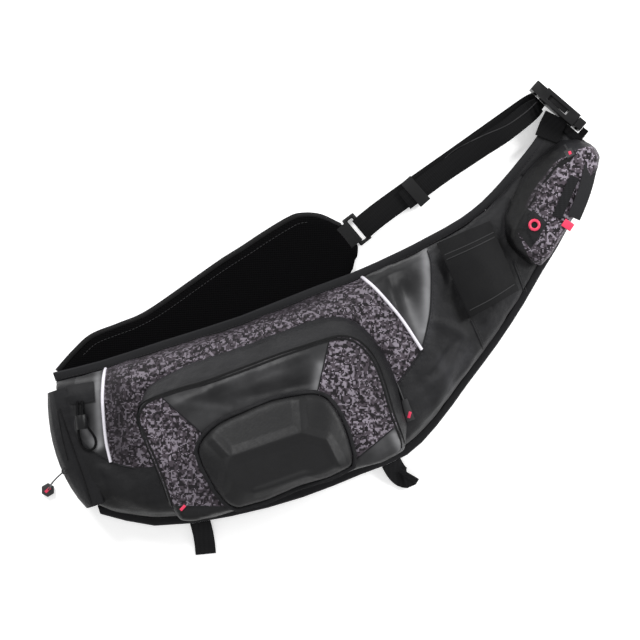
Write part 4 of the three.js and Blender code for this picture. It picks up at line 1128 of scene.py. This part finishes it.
POCKET_FOLDS = table(
    "from to width_mm lift_mm",
    ((0.31, 0.36), (0.48, 0.43), 6, 1.7),
    ((0.36, 0.34), (0.52, 0.38), 6, -1.4),
    ((0.24, 0.32), (0.34, 0.37), 6, 1.2),
    ((0.22, 0.28), (0.26, 0.12), 7, 1.4),
    ((0.56, 0.42), (0.60, 0.28), 7, 1.6),
    ((0.58, 0.20), (0.64, 0.24), 6, 1.5),
    ((0.50, 0.40), (0.53, 0.30), 5, 1.2),
)
POCKET_FACE_Z = 107 * MM
POCKET_LEFT_SEAM = ((0.225, 0.339), (0.297, 0.264))
POCKET_RIGHT_SEAM = ((0.517, 0.458), (0.496, 0.349))
POCKET_RIGHT_LOW = ((0.559, 0.207), (0.629, 0.276))
POCKET_LOW_LEFT = ((0.239, 0.115), (0.306, 0.115))
POCKET_FACE = [
    (0.2412, 0.0967), (0.2212, 0.1674), (0.1917, 0.2531), (0.1788, 0.2929), (0.1854, 0.3222),
    (0.2071, 0.3389), (0.2566, 0.3598), (0.3, 0.3745), (0.3628, 0.4017), (0.4372, 0.4341),
    (0.5071, 0.4603), (0.5363, 0.4678), (0.5606, 0.4634), (0.5838, 0.4435), (0.603, 0.41),
    (0.617, 0.3653), (0.6312, 0.3083), (0.6478, 0.2531), (0.6496, 0.2343),
]
# Painted highlights and painted shade on the pocket's cloth: light strokes where the gloss catches light,
# dark strokes where shade falls.
POCKET_PAINTED_LIGHT = table(
    "from to width_mm tone",
    ((0.53, 0.42), (0.60, 0.25), 14, 0.16),
    ((0.19, 0.30), (0.24, 0.22), 12, 0.1),
    ((0.24, 0.08), (0.36, 0.08), 11, -0.32),
    ((0.28, 0.33), (0.47, 0.38), 12, -0.13),
    ((0.503, 0.405), (0.495, 0.355), 8, 0.36),
    ((0.25, 0.335), (0.34, 0.318), 6, 0.14),
    ((0.34, 0.375), (0.45, 0.40), 9, 0.05),
    ((0.632, 0.262), (0.645, 0.225), 6, 0.34),
    ((0.17, 0.27), (0.23, 0.09), 7, -0.14),
    ((0.60, 0.46), (0.655, 0.29), 7, -0.12),
    ((0.22, 0.375), (0.36, 0.43), 6, 0.08),
)


def side_of(line, points):
    """How far each point is to the left of a line between two places."""
    start = place(*line[0])
    run = place(*line[1]) - start
    across = run.x * (points[:, 1] - start.y) - run.y * (points[:, 0] - start.x)
    return across / run.length


def pocket_masks(points):
    """Camo at the left and right of the pocket's face, and gloss between them."""
    face = points[:, 2] - POCKET_FACE_Z
    left = np.minimum(-side_of(POCKET_LEFT_SEAM, points), side_of(POCKET_LOW_LEFT, points))
    right_side = side_of(POCKET_RIGHT_SEAM, points)
    right = np.minimum(right_side, side_of(POCKET_RIGHT_LOW, points))
    within = np.minimum(face, -row_side(POCKET_FACE, points) - 1 * MM)
    camo = np.minimum(within, np.maximum(left, right))
    gloss = np.minimum(within, np.minimum(side_of(POCKET_LEFT_SEAM, points), -camo))
    return camo, gloss


class SLING_OT_main_pocket(bpy.types.Operator):
    """Makes the gusseted front pocket with its panels, seams and zip"""
    bl_idname = "sling.main_pocket"
    bl_label = "Main pocket"

    def execute(self, context):
        nodes = ("main_pocket", "pocket_zip")
        reaches = (75 * MM, 330 * MM)
        pocket = panelled_skin("pocket", nodes, 0.85, reaches, 2, pocket_masks, POCKET_PAINTED_LIGHT)
        crumple(pocket, POCKET_FOLDS, 30 * MM, cloth().wrinkle * 0.8, lowest=60 * MM)
        smooth(pocket, 180)
        rides(pocket, "packcloth", "main_pocket", "pocket_zip")
        self.zip_rows(pocket)
        self.seams(pocket)
        return {"FINISHED"}

    def zip_rows(self, pocket):
        tree = tree_of(pocket)
        heart = place(0.42, 0.27)
        runs = {"zip_outer": 0.6 * MM, "zip_inner": 4.4 * MM}
        for name, inward in runs.items():
            points = []
            for p in shares(*POCKET_FACE):
                way = (heart - p).normalized()
                points.append(p + way * inward)
            path = [p for p in draped(points, tree, 0.35 * MM, 8) if p.z > POCKET_FACE_Z - 25 * MM]
            rides(strip(name, path, 2.4 * MM, 1.6 * MM, "zip_tape"), "zip_tape")

    def seams(self, pocket):
        tree = tree_of(pocket)
        lines = {
            "pocket_seam_left": POCKET_LEFT_SEAM,
            "pocket_seam_right": POCKET_RIGHT_SEAM,
            "pocket_seam_low": POCKET_RIGHT_LOW,
            "pocket_seam_corner": POCKET_LOW_LEFT,
        }
        for name, ends in lines.items():
            start, end = shares(*ends)
            path = draped([start, start.lerp(end, 0.5), end], tree, 0, 10)
            rides(rope(name, path, 1.6 * MM, "packcloth", 8), "packcloth")


# The moulded dome


DOME_CREASES = table(
    "from to width_mm lift_mm",
    ((0.464, 0.335), (0.469, 0.269), 9, 2.3),
    ((0.469, 0.269), (0.512, 0.254), 9, 2.3),
    ((0.512, 0.254), (0.545, 0.180), 9, 2.3),
    ((0.315, 0.256), (0.345, 0.220), 9, 2.3),
    ((0.345, 0.220), (0.469, 0.269), 11, 1.7),
    ((0.345, 0.220), (0.332, 0.155), 9, 2.3),
    ((0.392, 0.146), (0.476, 0.181), 7, 1.8),
    ((0.476, 0.181), (0.512, 0.170), 7, 1.8),
)
DOME_CREASE_FOOT = 116 * MM


def crease_lift(points, creases):
    """The highest of some sharp ridges at each point, each falling off evenly to its sides."""
    lift = np.zeros(len(points))
    for crease, share, distance in strokes(points, creases):
        lift = np.maximum(lift, crease["lift_mm"] * MM * np.clip(1 - distance, 0, 1))
    return lift


class SLING_OT_dome(bpy.types.Operator):
    """Makes the moulded pocket with its facets and the welt round its foot"""
    bl_idname = "sling.dome"
    bl_label = "Moulded dome"

    def execute(self, context):
        dome = copied("dome_pocket")
        apply_modifier(dome, "REMESH", mode="VOXEL", voxel_size=1.4 * MM, adaptivity=0)
        apply_modifier(dome, "SMOOTH", factor=0.5, iterations=45)
        points = read(dome.data.vertices, "co")
        fade = np.clip((points[:, 2] - DOME_CREASE_FOOT) / (8 * MM), 0, 1)
        points[:, 2] += crease_lift(points, DOME_CREASES) * fade
        dome.data.vertices.foreach_set("co", points.ravel())
        own(dome, "dome", "moulded_foam")
        smooth(dome, 180)
        rides(dome, "moulded_foam", "dome_pocket")
        rounded("dome_welt", "welt", "packcloth", "packcloth", 1 * MM, angle=40)
        return {"FINISHED"}


# Small pockets


SLIP_HEMS = [
    [(0.722, 0.636), (0.766, 0.659), (0.809, 0.684)],
    [(0.725, 0.626), (0.768, 0.649), (0.811, 0.674)],
    [(0.766, 0.52), (0.806, 0.545), (0.846, 0.575)],
]
SIDE_SEAMS = [
    [(0.040, 0.315), (0.060, 0.245), (0.082, 0.17), (0.096, 0.118)],
    [(0.036, 0.31), (0.044, 0.255), (0.054, 0.205)],
]
SIDE_EYELET = (0.048, 0.183)
SIDE_EYELET_RADIUS = 3.4 * MM


class SLING_OT_small_pockets(bpy.types.Operator):
    """Makes the neoprene pocket on the right and the stretch pocket at the left end"""
    bl_idname = "sling.small_pockets"
    bl_label = "Small pockets"

    def execute(self, context):
        phone = rounded(
            "phone_pocket", "slip_pocket", "neoprene", "neoprene", 1 * MM, angle=40, smooth_angle=50)
        tree = tree_of(phone, bpy.data.objects["body"])
        for number, row in enumerate(SLIP_HEMS):
            path = draped(shares(*row), tree, 0.2 * MM, 8)
            rides(rope(f"slip_hem_{number}", path, 1.3 * MM, "dark_thread", 8), "neoprene")
        side = rounded("side_pocket", "stretch_pocket", "stretch_cloth", "air_mesh", 0.8 * MM)
        tree = tree_of(side, bpy.data.objects["body"])
        for number, row in enumerate(SIDE_SEAMS):
            path = draped(shares(*row), tree, 0.2 * MM, 8)
            rides(rope(f"side_seam_{number}", path, 1.8 * MM, "zip_tape", 8), "air_mesh")
        self.eyelet(tree)
        return {"FINISHED"}

    def eyelet(self, tree):
        """The small dark ring that the side pull's cord comes out of."""
        centre = place(*SIDE_EYELET)
        centre.z = height(tree, centre.x, centre.y) + 0.3 * MM
        ring = []
        for number in range(16):
            turn = 2 * math.pi * number / 16
            ring.append(centre + SIDE_EYELET_RADIUS * Vector((math.cos(turn), math.sin(turn), 0)))
        rides(rope("side_eyelet", ring, 1.8 * MM, "rubber", 8, closed=True), "hard_plastic")


# The elastic cord


CORD_PLAN = [
    (0.072, 0.33), (0.0715, 0.314), (0.0725, 0.296), (0.074, 0.279), (0.0745, 0.26), (0.077, 0.243),
    (0.084, 0.231), (0.094, 0.228), (0.102, 0.234), (0.1045, 0.245), (0.1015, 0.258), (0.0935, 0.272),
    (0.0855, 0.286), (0.0815, 0.299), (0.0805, 0.315), (0.0805, 0.331),
]
CORD_DIAMETER = 3 * MM
LOCK_ACROSS = 0.287
LOCK_DIAMETER = 15 * MM


class SLING_OT_elastic_cord(bpy.types.Operator):
    """Makes the elastic cord, its lock and the patch that it comes out of"""
    bl_idname = "sling.elastic_cord"
    bl_label = "Elastic cord"

    def execute(self, context):
        rounded("tab_patch", "cord_patch", "packcloth", "packcloth", 0.6 * MM)
        under = ("body", "cord_patch", "stretch_pocket")
        tree = tree_of(*(bpy.data.objects[name] for name in under))
        points = []
        for along, across in CORD_PLAN:
            point = place(along, across)
            near = min(1.0, abs(across - LOCK_ACROSS) / 0.04)
            seat = height(tree, point.x, point.y) + CORD_DIAMETER / 2 + 0.4 * MM
            point.z = seat + (1 - near) * (LOCK_DIAMETER - CORD_DIAMETER) / 2
            points.append(point)
        path = curve_through(points, 6)
        length = sum((b - a).length for a, b in zip(path, path[1:]))
        cord = rope("elastic_cord", path, CORD_DIAMETER, "strap_webbing", 12)
        rides(cord, "webbing", "bungee_cord")
        lock = rounded("cord_lock", "barrel_lock", "hard_plastic", "hard_plastic", 0.8 * MM)
        return {"FINISHED"}


# The shoulder pouch


POUCH_FACE_EDGE = [
    (0.985, 0.868), (0.943, 0.851), (0.915, 0.828), (0.89, 0.789), (0.869, 0.751), (0.857, 0.718),
    (0.853, 0.68), (0.872, 0.63), (0.893, 0.61),
]
POUCH_GUSSET_TOP = 30 * MM
POUCH_PATCH = [(0.8614, 0.7406), (0.9044, 0.7017), (0.8743, 0.6485), (0.8496, 0.6904)]
# Painted shade along the pouch's edges, and a painted highlight across its face.
POUCH_PAINTED_LIGHT = table(
    "from to width_mm tone",
    ((0.915, 0.85), (0.855, 0.75), 11, -0.4),
    ((0.855, 0.75), (0.835, 0.66), 12, -0.4),
    ((0.84, 0.64), (0.89, 0.59), 8, -0.35),
    ((0.96, 0.83), (0.93, 0.68), 22, 0.5),
)


def pouch_masks(points):
    """Camo on the pouch's face round its patch, and no gloss."""
    corners = POUCH_PATCH + POUCH_PATCH[:1]
    off_patch = np.maximum.reduce([side_of(ends, points) for ends in zip(corners, corners[1:])])
    inside = np.minimum(row_side(POUCH_FACE_EDGE, points), off_patch)
    return np.minimum(inside, points[:, 2] - POUCH_GUSSET_TOP), np.full(len(points), -1.0)


class SLING_OT_pouch(bpy.types.Operator):
    """Makes the pouch on the shoulder with its patch, eyelet, strips and tag"""
    bl_idname = "sling.pouch"
    bl_label = "Shoulder pouch"

    def execute(self, context):
        nodes = ("shoulder_pouch", "pouch_zip")
        reaches = (60 * MM, 160 * MM)
        pouch = panelled_skin("pouch", nodes, 0.6, reaches, 2, pouch_masks, POUCH_PAINTED_LIGHT)
        crumple(pouch, [], 24 * MM, cloth().wrinkle * 0.7, lowest=18 * MM)
        smooth(pouch, 180)
        rides(pouch, "camo_cloth", "shoulder_pouch")
        rounded("pouch_zip", "pouch_zip_tape", "zip_tape", "zip_tape", 0.3 * MM)
        rounded("pouch_patch", "shield_patch", "packcloth", "packcloth", 0.4 * MM)
        rounded("eyelet", "pink_eyelet", "accent_red", "red_accent", 0.3 * MM)
        rounded("pouch_base_strip", "base_strip", "tail_webbing", "webbing", 0.3 * MM)
        rounded("pouch_webbing", "loop_strip", "binding_tape", "webbing", 0.3 * MM)
        rounded("red_tag", "plain_tag", "accent_red", "red_accent", 0.4 * MM)
        return {"FINISHED"}


# Webbing


SHOULDER_WEB = [(0.906, 0.882), (0.914, 0.907), (0.924, 0.931)]
STRAP_CREASE = [
    (0.725, 0.842), (0.7444, 0.861), (0.79, 0.888), (0.8335, 0.91), (0.868, 0.938), (0.888, 0.96),
]


class SLING_OT_webbing(bpy.types.Operator):
    """Makes the two layers of the shoulder strap and the tabs and tails"""
    bl_idname = "sling.webbing"
    bl_label = "Webbing"

    def execute(self, context):
        for node in ("strap_back", "strap_front", "shoulder_tab"):
            rounded(node, node + "_web", "strap_webbing", "webbing", 0.35 * MM, smooth_angle=30)
        rounded("ring_tab", "ring_tab_web", "zip_tape", "webbing", 0.35 * MM, smooth_angle=30)
        for node in ("bottom_strap_left", "bottom_strap_right"):
            rounded(node, node + "_web", "tail_webbing", "webbing", 0.35 * MM, smooth_angle=30)
        self.shoulder_web()
        tree = tree_of(bpy.data.objects["strap_back_web"], bpy.data.objects["strap_front_web"])
        path = [p for p in draped(shares(*STRAP_CREASE), tree, 0, 8) if p.z > 3 * MM]
        rides(rope("strap_crease", path, 1.4 * MM, "dark_thread", 8), "webbing")
        return {"FINISHED"}

    def shoulder_web(self):
        """The flat web that runs from the tip of the shoulder up to the buckle."""
        top = bounds_of("shoulder_tab_web")[1].z
        points = shares(*SHOULDER_WEB)
        for point in points:
            point.z = top - 1.5 * MM
        web = strip("shoulder_web", points, 30 * MM, 2.4 * MM, "strap_webbing")
        rides(web, "webbing")


# Hard parts


PULL_MARKS = table(
    "pull centre length_mm width_mm turn",
    ("hexagon_pull", (0.013, 0.14), 8, 3.4, 0.75),
    ("face_pull", (0.659, 0.302), 8, 3.6, 1.3),
    ("upper_pull", (0.945, 0.848), 7, 3.4, -1.2),
)
PULL_MARK_THICKNESS = 0.8 * MM
BUCKLE_WINDOW = (0.924, 0.955)
BUCKLE_TONGUE = (28 * MM, 8 * MM, 2 * MM)
BUCKLE_TONGUE_DEPTH = 5 * MM
BUCKLE_TURN = -0.66


class SLING_OT_fittings(bpy.types.Operator):
    """Makes the buckle, ring, slider and zip pulls"""
    bl_idname = "sling.fittings"
    bl_label = "Fittings"

    def execute(self, context):
        rounded("ring", "strap_ring", "hard_plastic", "hard_plastic", 1.6 * MM, segments=3)
        rounded("slider", "strap_slider", "hard_plastic", "hard_plastic", 1.2 * MM, segments=3)
        rounded("buckle_socket", "socket", "hard_plastic", "hard_plastic", 1.4 * MM, segments=3)
        rounded("buckle_prong", "prong", "hard_plastic", "hard_plastic", 1 * MM, segments=3)
        rounded("side_pull", "hexagon_pull", "rubber", "hard_plastic", 0.6 * MM)
        rounded("pocket_pull", "face_pull", "rubber", "hard_plastic", 0.5 * MM)
        rounded("pouch_pull", "upper_pull", "rubber", "hard_plastic", 0.5 * MM)
        rounded("bar_tack", "red_bar_tack", "accent_red", "red_accent", 0.4 * MM)
        rounded("main_zip", "main_zip_tape", "zip_tape", "zip_tape", 0.3 * MM)
        for mark in PULL_MARKS:
            centre = place(*mark["centre"])
            centre.z = height(tree_of(bpy.data.objects[mark["pull"]]), centre.x, centre.y)
            size = (mark["length_mm"] * MM, mark["width_mm"] * MM, PULL_MARK_THICKNESS)
            name = mark["pull"] + "_mark"
            plate(name, centre, size, mark["turn"], 0.3 * MM, "accent_red", "red_accent")
        centre = place(*BUCKLE_WINDOW)
        centre.z = bounds_of("socket")[1].z - BUCKLE_TONGUE_DEPTH
        plate("buckle_tongue", centre, BUCKLE_TONGUE, BUCKLE_TURN, 0.5 * MM, "hard_plastic", "hard_plastic")
        return {"FINISHED"}


# The stage


FLOOR_COLOUR = (0.96, 0.96, 0.96)
LIGHTS = table(
    "name place size power",
    ("key", (-1.1, 1.5, 1.7), 0.8, 48),
    ("right", (1.7, 0.7, 1.0), 0.6, 30),
    ("front", (0.1, -1.9, 1.3), 1.0, 10),
)
FLOOR_SIZE = 14
FLOOR_GLOW = 0.38
SKY_STRENGTH = 0.55
SENSOR_WIDTH = 36
AIM_ASIDE = 0.6 * MM
AIM_HEIGHT = 60 * MM


class SLING_OT_stage(bpy.types.Operator):
    """Makes the floor, the lights and the camera over the bag"""
    bl_idname = "sling.stage"
    bl_label = "Stage"

    def execute(self, context):
        self.floor()
        for light in LIGHTS:
            self.light(light)
        self.world()
        self.camera(context.scene)
        return {"FINISHED"}

    def floor(self):
        bpy.ops.object.select_all(action="DESELECT")
        bpy.ops.mesh.primitive_plane_add(size=FLOOR_SIZE, location=(0, 0, 0))
        floor = bpy.context.view_layer.objects.active
        floor.name = "floor"
        shader = Shader("floor_paint", 0.9)
        shader.colour(FLOOR_COLOUR)
        shader.surface.inputs["Emission Color"].default_value = solid((1, 1, 1))
        shader.surface.inputs["Emission Strength"].default_value = FLOOR_GLOW
        floor.data.materials.append(shader.material)
        settle(floor)

    def light(self, row):
        data = bpy.data.lights.new(row["name"], "AREA")
        data.energy = row["power"]
        data.size = row["size"]
        light = bpy.data.objects.new(row["name"], data)
        bpy.context.scene.collection.objects.link(light)
        light.location = row["place"]
        light.rotation_euler = (-Vector(row["place"])).to_track_quat("-Z", "Y").to_euler()

    def world(self):
        world = bpy.data.worlds.new("studio")
        world.use_nodes = True
        background = world.node_tree.nodes["Background"]
        background.inputs["Color"].default_value = (1, 1, 1, 1)
        background.inputs["Strength"].default_value = SKY_STRENGTH
        bpy.context.scene.world = world
        bpy.context.scene.view_settings.view_transform = "Standard"

    def camera(self, scene):
        settings = scene.sling_stage
        data = bpy.data.cameras.new("camera")
        data.lens = settings.lens
        data.sensor_width = SENSOR_WIDTH
        data.dof.use_dof = False
        data.clip_end = 50
        camera = bpy.data.objects.new("camera", data)
        scene.collection.objects.link(camera)
        distance = settings.view * data.lens / data.sensor_width
        camera.location = (CENTRE_X + AIM_ASIDE, CENTRE_Y, AIM_HEIGHT + distance)
        scene.camera = camera


# The panel, and running the operators in turn


OPERATORS = (
    SLING_OT_pads, SLING_OT_body, SLING_OT_bindings, SLING_OT_main_pocket, SLING_OT_dome,
    SLING_OT_small_pockets, SLING_OT_elastic_cord, SLING_OT_pouch, SLING_OT_webbing, SLING_OT_fittings,
    SLING_OT_stage,
)


class SLING_PT_panel(bpy.types.Panel):
    """Lists the settings and the operators of the bag"""
    bl_idname = "SLING_PT_panel"
    bl_label = "Sling Bag"
    bl_space_type = "VIEW_3D"
    bl_region_type = "UI"
    bl_category = "Sling Bag"

    def draw(self, context):
        scene = context.scene
        for group in (scene.sling_cloth, scene.sling_colours, scene.sling_stage):
            box = self.layout.box()
            for key in group.__annotations__:
                box.prop(group, key)
        for operator in OPERATORS:
            self.layout.operator(operator.bl_idname)


SETTINGS = {"sling_cloth": ClothSettings, "sling_colours": ColourSettings, "sling_stage": StageSettings}
CLASSES = (*SETTINGS.values(), *OPERATORS, SLING_PT_panel)


def register():
    for cls in CLASSES:
        bpy.utils.register_class(cls)
    for name, group in SETTINGS.items():
        setattr(bpy.types.Scene, name, bpy.props.PointerProperty(type=group))


def unregister():
    for name in SETTINGS:
        delattr(bpy.types.Scene, name)
    for cls in reversed(CLASSES):
        bpy.utils.unregister_class(cls)


def main():
    register()
    bpy.ops.sling.pads()
    bpy.ops.sling.body()
    bpy.ops.sling.bindings()
    bpy.ops.sling.main_pocket()
    bpy.ops.sling.dome()
    bpy.ops.sling.small_pockets()
    bpy.ops.sling.elastic_cord()
    bpy.ops.sling.pouch()
    bpy.ops.sling.webbing()
    bpy.ops.sling.fittings()
    bpy.ops.sling.stage()


if __name__ == "__main__":
    main()
